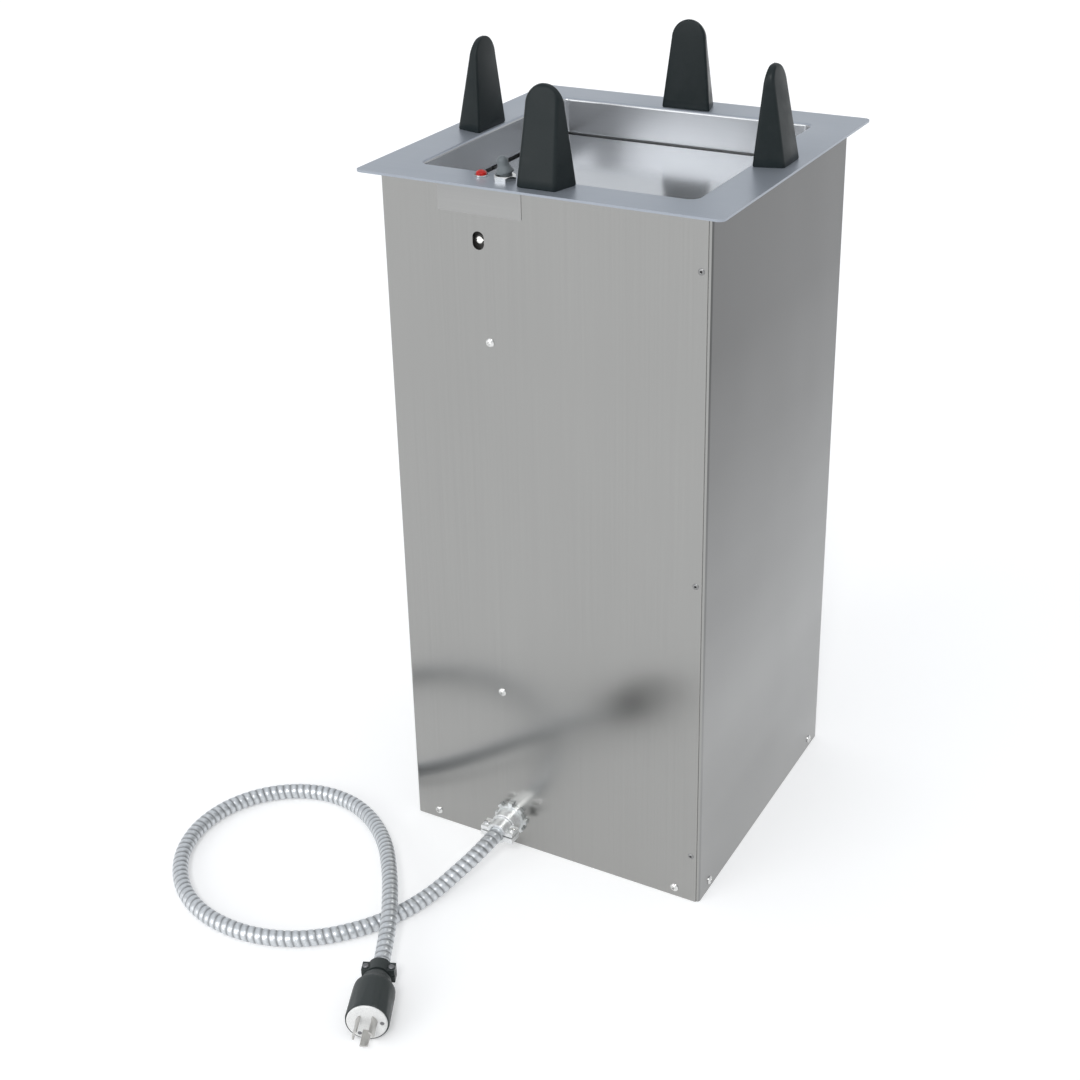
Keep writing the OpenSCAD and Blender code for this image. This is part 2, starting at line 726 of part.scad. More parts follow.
// Heater: four straight runs in a row, joined by half turns, with both ends down through the floor
module heater_element() {
  arc_y = run_y - heater_bend;
  color("dimgray") {
    for (i = [0:3]) translate([(i - 1.5) * heater_pitch, 0, heater_z]) rotate([90, 0, 0])
      cylinder(h = 2 * arc_y, r = heater_r, center = true, $fn = 24);
    for (i = [0:2]) translate([(i - 1) * heater_pitch, i == 1 ? -arc_y : arc_y, heater_z])
      rotate([0, 0, i == 1 ? 180 : 0]) rotate_extrude(angle = 180, $fn = 48)
        translate([heater_pitch / 2, 0]) circle(heater_r, $fn = 24);
    for (x = heater_ends) translate([x, -arc_y, heater_z - heater_bend]) {
      rotate([0, 0, -90]) rotate([90, 0, 0]) rotate_extrude(angle = 90, $fn = 48)
        translate([heater_bend, 0]) circle(heater_r, $fn = 24);
      translate([0, -heater_bend, -heater_leg]) cylinder(h = heater_leg, r = heater_r, $fn = 24);
      translate([0, -heater_bend, -heater_leg - heater_pin])
        cylinder(h = heater_pin, r = heater_pin_r, $fn = 24);
    }
  }
}

module heater_brackets() {
  color("silver") for (s = [-1, 1]) translate([0, s * bracket_y, 0]) difference() {
    translate([-2 * heater_pitch, -bracket_t / 2, floor_z + sheet_t])
      cube([4 * heater_pitch, bracket_t, heater_rise + heater_r + bracket_rim - sheet_t]);
    for (i = [0:3]) translate([(i - 1.5) * heater_pitch, 0, heater_z]) rotate([90, 0, 0])
      cylinder(h = 2 * bracket_t, r = heater_r + fit, center = true);
  }
}

// Thermostat behind the slot
module thermostat_body() {
  color("white") translate([slot_x, thermo_y, slot_z]) difference() {
    union() {
      translate([-thermo_size[0] / 2, 0, thermo_rise - thermo_size[2]]) cube(thermo_size);
      rotate([90, 0, 0]) cylinder(h = 2.4, r = 4.5);
      for (x = thermo_tabs) translate([x - slot_x - 3, wire_y - thermo_y - 0.5, thermo_low - slot_z - thermo_tab_h])
        cube([6, 1, thermo_tab_h + fine]);
    }
    rotate([90, 0, 0]) translate([0, 0, -6]) cylinder(h = 10, r = spindle_r + run_fit);
  }
}

module thermostat_bracket() {
  plate_y = -wall_in;
  color("silver") difference() {
    union() {
      translate([slot_x - 22, plate_y, slot_z - 28]) cube([44, sheet_t, 50]);
      for (s = [-1, 1]) translate([slot_x + s * 14, plate_y, slot_z - 20]) rotate([-90, 0, 0])
        cylinder(h = thermo_y - plate_y, r = 2.5);
    }
    translate([slot_x, plate_y - 1, slot_z]) rotate([-90, 0, 0]) linear_extrude(sheet_t + 2)
      stadium(slot_w + 2, slot_h + 2);
  }
}

module thermostat_spindle() {
  color("goldenrod") translate([slot_x, thermo_y, slot_z]) rotate([90, 0, 0]) difference() {
    translate([0, 0, -5.7]) cylinder(h = 5.7 + 3.1, r = spindle_r);
    translate([-spindle_r - 1, -0.5, 1.9]) cube([2 * spindle_r + 2, 1, 3]);
  }
}

module capillary_bulb() {
  x = slot_x - capillary_x;
  y = thermo_y + thermo_size[1] - bulb_r;
  bulb_top = body_h - bulb_drop;
  color("peru") {
    translate([x, y, bulb_top]) cylinder(h = thermo_low - bulb_top, r = capillary_r, $fn = 16);
    translate([x, -liner_out - bulb_r - fine, bulb_top - bulb_len]) cylinder(h = bulb_len, r = bulb_r, $fn = 24);
  }
}

// Switch: its body hangs under the flange, the nut and the boot show above it
module switch_body() {
  color("black") translate([switch_pos[0], switch_pos[1], 0]) {
    translate([-9, -6.5, body_h - 20]) cube([18, 13, 20]);
    translate([0, 0, body_h - fine]) cylinder(h = bushing_top - body_h, r = bushing_r);
    for (s = [-1, 1]) translate([s * 5 - 2, -0.5, body_h - 27]) cube([4, 1, 7 + fine]);
  }
}

module switch_nut() {
  color("gainsboro") translate([switch_pos[0], switch_pos[1], top_z]) difference() {
    intersection() {
      cylinder(h = switch_nut_h, r = switch_nut_af / sqrt(3), $fn = 6);
      rotate_extrude() polygon([
        [0, 0], [switch_nut_af / sqrt(3) - 0.2, 0], [switch_nut_af / sqrt(3), 0.6],
        [switch_nut_af / sqrt(3), switch_nut_h - 1.2], [switch_nut_af / 2 - 0.3, switch_nut_h],
        [0, switch_nut_h]
      ]);
    }
    translate([0, 0, -1]) cylinder(h = switch_nut_h + 2, r = boot_r + seat_gap);
  }
}

module lever_frame() {
  translate([switch_pos[0], switch_pos[1], pivot_z]) rotate([0, -lever_tilt, 0]) children();
}

bat = [[0, -1.6], [1.6, -1.2], [1.6, 2], [2.6, 9], [2.6, 10.4], [1.6, 11.4], [0, 11.4]];
module switch_lever() {
  color("silver") lever_frame() {
    rotate_extrude() polygon(bat);
    rotate([90, 0, 0]) cylinder(h = 2 * pin_half, r = pin_r, center = true);
  }
}

module switch_boot() {
  tip = boot_h + top_z - pivot_z;
  dome_r = 4.9;
  skirt_r = switch_nut_af / 2 - 1.2;
  boot_lift = top_z + switch_nut_h - pivot_z + skirt_r * sin(lever_tilt) + 2 * run_fit;
  color("slategray") lever_frame() difference() {
    union() {
      sphere(boot_r);
      rotate_extrude() union() {
        polygon([
          [0, 0], [boot_r, 0], [boot_r, boot_lift], [skirt_r, boot_lift], [skirt_r, boot_lift + 1.2],
          [boot_r, boot_lift + 4.4], [dome_r, boot_lift + 6.4], [dome_r, tip - dome_r], [0, tip - dome_r]
        ]);
        intersection() {
          translate([0, tip - dome_r]) circle(dome_r);
          square([dome_r, tip]);
        }
      }
    }
    rotate_extrude() polygon([for (p = bat) [p[0] + (p[0] > 0 ? run_fit : 0), p[1] + (p[1] < 0 ? -run_fit : run_fit)]]);
    rotate([90, 0, 0]) cylinder(h = 2 * pin_half + 2 * run_fit, r = pin_r + run_fit, center = true);
  }
}

// Pilot lamp
module pilot_body() {
  color("gainsboro") translate([pilot_pos[0], pilot_pos[1], 0]) difference() {
    union() {
      translate([0, 0, body_h - 24]) cylinder(h = 24 + flange_t, r = pilot_body_r);
      translate([0, 0, top_z]) cylinder(h = 1.6, r = pilot_bezel_r);
    }
    translate([0, 0, body_h - 14]) cylinder(h = 40, r = pilot_body_r - 1.2);
    translate([0, 0, top_z + 0.6]) cylinder(h = 3, r = pilot_r + run_fit);
  }
}

module pilot_lens() {
  color("firebrick") translate([pilot_pos[0], pilot_pos[1], top_z + 0.6]) rotate_extrude() intersection() {
    square([pilot_r, 6]);
    union() {
      square([pilot_r, 2.6]);
      translate([0, 2.6 - 4]) circle(norm([pilot_r, 4]));
    }
  }
}

// Wiring behind the front wall
module wire_channel() {
  color("silver") difference() {
    translate([channel_x - channel_w / 2, -wall_in, channel_z0]) difference() {
      cube([channel_w, channel_d, channel_z1 - channel_z0]);
      translate([1, 1, -1]) cube([channel_w - 2, channel_d, channel_z1 - channel_z0 + 2]);
    }
    for (d = channel_screw_drops) on_wall(0, channel_x, body_h - d, half) wall_hole(screw_r + fit);
  }
}

module terminal_block() {
  color("ivory") translate([channel_x, block_y, sheet_t]) difference() {
    translate([-block[0] / 2, 0, 0]) cube(block);
    for (i = [-2:2], y = [-fine, block[1] - pocket[1] + fine])
      translate([i * pocket_pitch - pocket[0] / 2, y, pocket_z]) cube([pocket[0], pocket[1], pocket[2] + 1]);
  }
}

module wire(len) { cylinder(h = len, r = wire_r, $fn = 16); }
module wire_turn(r) {
  rotate_extrude(angle = 90, $fn = 32) translate([r, 0]) circle(wire_r, $fn = 16);
}

// A wire that comes down behind the front wall and turns inwards to the terminal block
module wire_down(x, top) {
  turn = 10;
  end_y = block_y + pocket[1] - 1;
  translate([x, wire_y, lead_z + turn]) wire(top - lead_z - turn);
  translate([x, wire_y + turn, lead_z + turn]) rotate([0, 0, 90]) rotate([90, 0, 0])
    rotate([0, 0, 180]) wire_turn(turn);
  translate([x, wire_y + turn, lead_z]) rotate([-90, 0, 0]) wire(end_y - wire_y - turn);
}

// A heater lead: down, along the floor of the compartment, then into the terminal block
module heater_lead(x, end_x) {
  tip_z = heater_z - heater_bend - heater_leg - heater_pin;
  translate([x, -run_y, lead_z]) wire(tip_z - lead_z);
  translate([x, -run_y, lead_z]) sphere(wire_r, $fn = 16);
  translate([min(x, end_x), -run_y, lead_z]) rotate([0, 90, 0]) wire(abs(end_x - x));
  translate([end_x, -run_y, lead_z]) sphere(wire_r, $fn = 16);
  translate([end_x, -run_y, lead_z]) rotate([90, 0, 0]) wire(-run_y - block_y - block[1] + pocket[1] - 1);
}

module wiring() {
  pilot_end = body_h - 24;
  switch_end = body_h - 27;
  link_x = switch_pos[0] - 5;
  loop_r = (link_x - pilot_pos[0]) / 2;
  color("firebrick") {
    for (x = thermo_tabs) wire_down(x, thermo_low - thermo_tab_h);
    wire_down(wire_xs[2], switch_end);
    for (x = [conn_x - supply_x, conn_x + supply_x]) translate([x, -half - conn_mouth + conn_insert + 12, supply_z])
      rotate([-90, 0, 0]) wire(half + conn_mouth - conn_insert - 12 + block_y + pocket[1] - 1);
    translate([pilot_pos[0] + loop_r, pilot_pos[1], switch_end]) rotate([-90, 0, 0])
      rotate_extrude(angle = 180, $fn = 32) translate([loop_r, 0]) circle(wire_r, $fn = 16);
    translate([pilot_pos[0], pilot_pos[1], switch_end]) wire(pilot_end - switch_end);
    heater_lead(heater_ends[0], heater_lead_xs[0]);
    heater_lead(heater_ends[1], heater_lead_xs[1]);
  }
}

// Conduit connector: local +Z points out of the front wall
module conn_frame() {
  on_wall(0, conn_x, conn_z, half) children();
}

module connector_body() {
  color("silver") conn_frame() difference() {
    union() {
      translate([0, 0, -13]) cylinder(h = 13 + conn_nut_h + fine, r = conn_thread_r);
      translate([0, 0, conn_nut_h]) cylinder(h = conn_hub_end - conn_nut_h, r = conn_hub_r);
      translate([0, 0, conn_hub_end]) intersection() {
        union() {
          cylinder(h = conn_mouth - conn_hub_end, r = 10.5);
          translate([-conn_ear, -6, 0]) cube([2 * conn_ear, 6, conn_mouth - conn_hub_end]);
        }
        translate([-20, -20, -1]) cube([40, 20 - clamp_gap / 2, 40]);
      }
    }
    translate([0, 0, -14]) cylinder(h = 60, r = 6.2);
    translate([0, 0, conn_mouth - conn_insert - 0.1]) cylinder(h = 30, r = conduit_r + 0.15);
    translate([0, clamp_gap / 2 - 0.5, conn_hub_end]) translate([-20, 0, 0]) cube([40, 20, 30]);
    conn_screw_places() rotate([90, 0, 0]) cylinder(h = 40, r = screw_r + run_fit, center = true);
  }
}

module conn_screw_places() {
  for (s = [-1, 1]) translate([s * conn_screw_x, 0, (conn_hub_end + conn_mouth) / 2]) children();
}

module connector_clamp() {
  color("gainsboro") conn_frame() difference() {
    translate([0, 0, conn_hub_end + 0.5]) intersection() {
      union() {
        cylinder(h = conn_mouth - conn_hub_end - 1, r = 10.5);
        translate([-conn_ear, 0, 0]) cube([2 * conn_ear, 4.5, conn_mouth - conn_hub_end - 1]);
      }
      translate([-20, clamp_gap / 2, -1]) cube([40, 20, 40]);
    }
    cylinder(h = 60, r = conduit_r + 0.15);
    conn_screw_places() rotate([90, 0, 0]) cylinder(h = 40, r = screw_r + fit, center = true);
  }
}

module connector_screws() {
  color("silver") conn_frame() conn_screw_places() translate([0, 4.5, 0]) rotate([-90, 0, 0])
    pan_screw(3.4, 2.2, screw_r, 10.5);
}

module lug_ring(lugs) {
  difference() {
    union() {
      circle(14.2);
      for (i = [0:lugs - 1]) rotate(360 * i / lugs) translate([11, -2.4]) square([6, 4.8]);
    }
    circle(conn_thread_r + run_fit);
  }
}

module connector_locknuts() {
  color("lightgray") conn_frame() {
    linear_extrude(conn_nut_h - 0.05) lug_ring(8);
    translate([0, 0, -sheet_t - conn_nut_h]) linear_extrude(conn_nut_h) lug_ring(8);
  }
}

// Conduit: one ribbed tube with its bore
module conduit() {
  sides = 8;
  rings = 2 * rib_count + 2;
  bores = ceil(rib_count / 3) + 1;
  outer = [for (i = [0:rings - 1])
    let (s = conduit_len * i / (rings - 1))
    ring(s, i == 0 || i == rings - 1 || i % 2 == 0 ? conduit_r - rib_d : conduit_r, sides)];
  inner = [for (i = [0:bores - 1]) ring(conduit_len * i / (bores - 1), conduit_bore_r, sides)];
  points = [for (r = concat(outer, inner)) each r];
  n = rings * sides;
  last = n + (bores - 1) * sides;
  color("silver") polyhedron(points = points, faces = concat(
    band(0, rings, sides, false), band(n, bores, sides, true),
    end_cap(0, n, sides, false), end_cap(n - sides, last, sides, true)));
}

// Plug: local +Z runs from the conduit to the blades
module plug_frame() {
  translate(plug_start) rotate([0, 90, plug_a]) children();
}

plug_end = clamp_len + plug_len;
module plug_body() {
  color("#3a4040") plug_frame() difference() {
    intersection() {
      rotate_extrude() polygon([
        [0, clamp_len - 3], [9, clamp_len - 3], [9, clamp_len + 1], [12.5, clamp_len + 2],
        [13.5, clamp_len + 7], [plug_r - 3.5, clamp_len + 10], [plug_r - 1, clamp_len + 14],
        [plug_r - 0.6, clamp_len + 18], [plug_r, plug_end - 1], [plug_r - 0.4, plug_end], [0, plug_end]
      ]);
      translate([0, 0, -1]) rotate(22.5) cylinder(h = 200, r = (plug_r - 0.5) / cos(22.5), $fn = 8);
    }
    cylinder(h = clamp_len + 12, r = conduit_r + 0.15);
    translate([0, 0, plug_end - 3]) cylinder(h = 10, r = plug_r - 1.4);
  }
}

module plug_face() {
  color("whitesmoke") plug_frame() difference() {
    rotate_extrude() polygon([
      [0, plug_end - 3], [plug_r - 1.5, plug_end - 3], [plug_r - 1.5, plug_end + 0.4],
      [plug_r - 2.3, plug_end + 1.2], [0, plug_end + 1.6]
    ]);
    for (a = [90, -30]) rotate(a) translate([plug_r - 6, 0, plug_end]) cylinder(h = 5, r = 1.9);
    translate([0, 0, plug_end - 4]) linear_extrude(10) blade_sections(0.1);
  }
}

// Three blades bent to one circle, as on a plug that locks by a turn
blade_circle = 8.6;
blade_t = 1.5;
module blade_sections(grow) {
  for (a = [0, 120, 240]) rotate(a) blade_section(24, grow);
}

module blade_section(half_a, grow) {
  intersection() {
    difference() {
      circle(blade_circle + blade_t / 2 + grow);
      circle(blade_circle - blade_t / 2 - grow);
    }
    polygon([[0, 0], 16 * [cos(-half_a - 4 * grow), sin(-half_a - 4 * grow)], [17, 0],
      16 * [cos(half_a + 4 * grow), sin(half_a + 4 * grow)]]);
  }
}

module plug_blades() {
  color("silver") plug_frame() translate([0, 0, plug_end - 2.8]) {
    linear_extrude(blade_len + 2.8 + 1.6) blade_sections(0);
    // The hook at the tip of the earthing blade
    translate([0, 0, blade_len]) linear_extrude(4.4) rotate(240) intersection() {
      difference() {
        circle(blade_circle + blade_t / 2);
        circle(blade_circle - blade_t / 2);
      }
      polygon([[0, 0], 16 * [cos(20), sin(20)], 16 * [cos(44), sin(44)]]);
    }
  }
}

module plug_clamp() {
  color("#2b3030") plug_frame() difference() {
    intersection() {
      union() {
        cylinder(h = clamp_len - 3.05, r = 10.5);
        translate([-6.5, -14.5, 1.5]) cube([13, 29, clamp_len - 5]);
      }
      translate([0, 0, -1]) linear_extrude(40) rounded_rect(10.5, 14.5, 3);
    }
    translate([0, 0, -1]) cylinder(h = 40, r = conduit_r + 0.15);
    plug_clamp_screw_places() rotate([0, 90, 0]) cylinder(h = 40, r = screw_r + run_fit, center = true);
    translate([-0.5, -20, -1]) cube([1, 40 - 32, 40]);
    translate([-0.5, 12, -1]) cube([1, 8, 40]);
  }
}

module plug_clamp_screw_places() {
  for (s = [-1, 1]) translate([0, s * 11.2, clamp_len / 2 - 0.5]) children();
}

module plug_screws() {
  color("silver") plug_frame() {
    plug_clamp_screw_places() translate([-6.5, 0, 0]) rotate([0, -90, 0]) pan_screw(2.8, 1.8, screw_r, 12);
    for (a = [90, -30]) rotate(a) translate([plug_r - 6, 0, plug_end]) cylinder(h = 1.2, r = 1.8);
  }
}

// Carriage
module platform() {
  p_half = well_w / 2 - platform_gap;
  p_r = well_corner_r - platform_gap;
  f = fold_r;
  color("lightslategray") difference() {
    translate([0, 0, platform_z]) union() {
      translate([0, 0, -platform_t]) linear_extrude(platform_t)
        rounded_rect(p_half - f, p_half - f, p_r > f ? p_r - f : fine);
      square_sweep(p_half - f, p_r > f ? p_r - f : fine) union() {
        translate([0, -f]) bend_section(f, platform_t, 1, 1);
        translate([f - platform_t, -skirt_h]) square([platform_t, skirt_h - f]);
      }
    }
    translate([-p_half - 1, -bar_w / 2 - seat_gap, platform_z - skirt_h - 1])
      cube([2 * p_half + 2, bar_w + 2 * seat_gap, skirt_h + 1 - platform_t]);
  }
}

module bar_section() {
  difference() {
    translate([-bar_w / 2, 0]) square([bar_w, bar_h]);
    translate([-bar_w / 2 + bar_t, -1]) square([bar_w - 2 * bar_t, bar_h - bar_t + 1]);
  }
}

module carriage_frame() {
  cross_half = well_w / 2 - platform_gap - platform_t - 1;
  color("gray") {
    translate([-plate_x, 0, bar_z]) rotate([90, 0, 90]) linear_extrude(2 * plate_x) bar_section();
    for (s = [-1, 1]) translate([0, s * bar_w / 2, bar_z]) rotate([90, 0, 90 + s * 90])
      linear_extrude(cross_half - bar_w / 2) bar_section();
    for (s = [-1, 1]) translate([s * (plate_x - bar_t / 2), 0, bar_z + bar_h / 2])
      cube([bar_t, bar_w, bar_h], center = true);
  }
}

module roller_plate() {
  tip = wall_in - rack_tip - plate_x;
  translate([plate_x, 0, 0]) difference() {
    union() {
      rotate([90, 0, 90]) linear_extrude(plate_t) polygon([
        [-rack_half, plate_low_z], [rack_half, plate_low_z], [rack_half, plate_low_z + 12],
        [plate_half, plate_low_z + 40], [plate_half, plate_top_z - 4], [plate_half - 4, plate_top_z],
        [-plate_half + 4, plate_top_z], [-plate_half, plate_top_z - 4], [-plate_half, plate_low_z + 40],
        [-rack_half, plate_low_z + 12]
      ]);
      for (s = [0, 1]) mirror([0, s, 0]) translate([0, plate_half, plate_low_z])
        cube([tip, rack_half - plate_half, rack_t]);
    }
    for (z = [roller_top_z, roller_low_z]) translate([-1, 0, z]) rotate([0, 90, 0])
      cylinder(h = plate_t + 2, r = axle_r + fit);
    for (y = spring_ys, s = [-1, 1]) translate([spring_x - plate_x, s * y, plate_low_z - 1])
      cylinder(h = rack_t + 2, r = hook_hole_r);
  }
}

module roller_plate_right() { color("silver") roller_plate(); }
module roller_plate_left() { color("silver") rotate(180) roller_plate(); }

// A pin riveted into the roller plate, with the shoulder that spaces its roller
module roller_axles() {
  x0 = roller_x - roller_w / 2 - seat_gap;
  color("lightgray") both_sides() for (z = [roller_top_z, roller_low_z])
    translate([0, 0, z]) rotate([0, 90, 0]) {
      translate([0, 0, plate_x - 1.2]) cylinder(h = 1.2, r = axle_r + 1.5);
      translate([0, 0, plate_x - fine]) cylinder(h = plate_t + 2 * fine, r = axle_r);
      translate([0, 0, plate_x + plate_t]) cylinder(h = x0 - plate_x - plate_t, r = axle_r + 1.5);
      translate([0, 0, x0 - fine]) cylinder(h = roller_w + 2 * seat_gap, r = axle_r);
    }
}

module roller(side, z) {
  w = roller_w / 2;
  color("ivory") translate([side * roller_x, 0, z]) rotate([0, 90, 0]) rotate_extrude() difference() {
    polygon([
      [axle_r + run_fit, -w], [axle_r + 2, -w], [axle_r + 2.4, -w + 0.8], [roller_r - 2, -w + 0.8],
      [roller_r - 1.6, -w + 0.3], [roller_r - 0.8, -w + 0.3], [roller_r, -w + 1.1],
      [roller_r, w - 1.1], [roller_r - 0.8, w - 0.3], [roller_r - 1.6, w - 0.3],
      [roller_r - 2, w - 0.8], [axle_r + 2.4, w - 0.8], [axle_r + 2, w], [axle_r + run_fit, w]
    ]);
  }
}

module roller_right_upper() { roller(1, roller_top_z); }
module roller_right_lower() { roller(1, roller_low_z); }
module roller_left_upper() { roller(-1, roller_top_z); }
module roller_left_lower() { roller(-1, roller_low_z); }

top_flange();
cabinet_wrap();
side_panel();
bottom_pan();
label_plate();
guide_front();
guide_back();
guide_left();
guide_right();
guide_screws();
liner_front();
liner_back();
liner_left();
liner_right();
heat_floor();
floor_stands();
rail_left();
rail_right();
spring_hangers();
stop_bumpers();
springs_left();
springs_right();
heater_element();
heater_brackets();
thermostat_body();
thermostat_bracket();
thermostat_spindle();
capillary_bulb();
switch_body();
switch_nut();
switch_lever();
switch_boot();
pilot_body();
pilot_lens();
wire_channel();
wiring();
terminal_block();
seam_rivets();
base_screws();
front_screws();
connector_body();
connector_clamp();
connector_screws();
connector_locknuts();
conduit();
plug_body();
plug_face();
plug_blades();
plug_clamp();
plug_screws();
platform();
carriage_frame();
roller_plate_left();
roller_plate_right();
roller_axles();
roller_left_upper();
roller_left_lower();
roller_right_upper();
roller_right_lower();
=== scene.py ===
"""Looks of a drop-in heated plate dispenser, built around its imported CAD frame.

Lengths in the classes of the object's own pieces are in millimetres, as in the
part's source, and are turned into metres where a mesh is made. The finishes and
the stage are in metres.
"""

import json
import logging
import math
from dataclasses import dataclass
from enum import Enum
from typing import Callable, Iterable, Sequence

import bmesh
import bpy
import numpy as np
from mathutils import Matrix, Vector

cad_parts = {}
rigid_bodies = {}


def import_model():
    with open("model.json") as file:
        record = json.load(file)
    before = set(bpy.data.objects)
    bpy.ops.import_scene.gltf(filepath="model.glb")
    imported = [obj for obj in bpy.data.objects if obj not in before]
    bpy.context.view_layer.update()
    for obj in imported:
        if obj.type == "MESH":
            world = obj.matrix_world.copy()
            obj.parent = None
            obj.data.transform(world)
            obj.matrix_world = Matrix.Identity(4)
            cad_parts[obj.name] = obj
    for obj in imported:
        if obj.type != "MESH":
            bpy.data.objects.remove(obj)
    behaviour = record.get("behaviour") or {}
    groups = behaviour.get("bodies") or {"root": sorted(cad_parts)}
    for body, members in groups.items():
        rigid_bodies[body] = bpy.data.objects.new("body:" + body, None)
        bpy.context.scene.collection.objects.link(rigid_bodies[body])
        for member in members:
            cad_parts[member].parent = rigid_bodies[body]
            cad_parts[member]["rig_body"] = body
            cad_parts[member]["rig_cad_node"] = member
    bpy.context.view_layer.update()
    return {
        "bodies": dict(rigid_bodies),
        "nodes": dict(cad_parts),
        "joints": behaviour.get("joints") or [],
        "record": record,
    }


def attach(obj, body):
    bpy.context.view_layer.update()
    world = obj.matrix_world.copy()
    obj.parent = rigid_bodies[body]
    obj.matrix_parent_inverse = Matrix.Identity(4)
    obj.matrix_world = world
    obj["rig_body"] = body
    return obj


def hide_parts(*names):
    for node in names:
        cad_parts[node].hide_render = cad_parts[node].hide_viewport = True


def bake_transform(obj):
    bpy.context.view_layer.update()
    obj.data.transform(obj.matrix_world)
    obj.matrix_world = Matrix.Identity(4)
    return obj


LOG = logging.getLogger("plate_dispenser")
MM = 0.001
IMAGE_PX = 1080
SENSOR_MM = 36.0
SHARP_DEGREES = 32.0
FLAT_DEGREES = 0.6
FACE_WEIGHT = 80
# Points nearer than these are one: metres for a CAD node, millimetres for a new piece
CAD_MERGE = 2e-6
TURNED_MERGE = 0.0005
LOFTED_MERGE = 0.0001
TURNED_FACETS = 32
Point = tuple[float, float, float]
Socket = bpy.types.NodeSocket


class Axis(Enum):
    """The direction of a sheet's grain."""

    X = 0
    Y = 1
    Z = 2


class Wall(Enum):
    """A wall of the cabinet, by its quarter turns from the front."""

    FRONT = 0
    RIGHT = 1
    BACK = 2
    LEFT = 3

    def frame(self, across: float, height: float, out: float) -> Matrix:
        """Local +Z points out of this wall, local +Y points up.

        Args:
            across: Distance from the wall's middle, to the right as seen from outside.
            height: Height above the floor.
            out: Distance of the origin from the cabinet's middle.

        Returns:
            The matrix that places a piece on the wall, in millimetres.
        """
        turn = Matrix.Rotation(math.radians(90 * self.value), 4, "Z")
        tip = Matrix.Rotation(math.radians(90), 4, "X")
        return turn @ Matrix.Translation((across, -out, height)) @ tip


# Camera


@dataclass(frozen=True)
class PhotoCamera:
    """The camera that was solved from the photograph's edges, in millimetres and degrees."""

    focal_px: float = 1725.6
    azimuth: float = 29.434
    elevation: float = 24.425
    roll: float = -1.343
    place: Point = (656.79, -1322.45, 1055.6)
    shift_y: float = -0.10

    def build(self) -> bpy.types.Object:
        """Adds the camera and makes it the scene's own.

        Returns:
            The camera's object.
        """
        a, e, r = (math.radians(x) for x in (self.azimuth, self.elevation, self.roll))
        back = Vector((math.sin(a) * math.cos(e), -math.cos(a) * math.cos(e), math.sin(e)))
        level = Vector((math.cos(a), math.sin(a), 0.0))
        up = back.cross(level)
        right = math.cos(r) * level + math.sin(r) * up
        up = back.cross(right)
        bpy.ops.object.camera_add()
        camera = bpy.context.object
        camera.name = "photo_camera"
        matrix = Matrix((right, up, back)).transposed().to_4x4()
        matrix.translation = Vector(self.place) * MM
        camera.matrix_world = matrix
        camera.data.sensor_width = SENSOR_MM
        camera.data.lens = SENSOR_MM * self.focal_px / IMAGE_PX
        camera.data.shift_y = self.shift_y
        bpy.context.scene.camera = camera
        return camera


# Materials


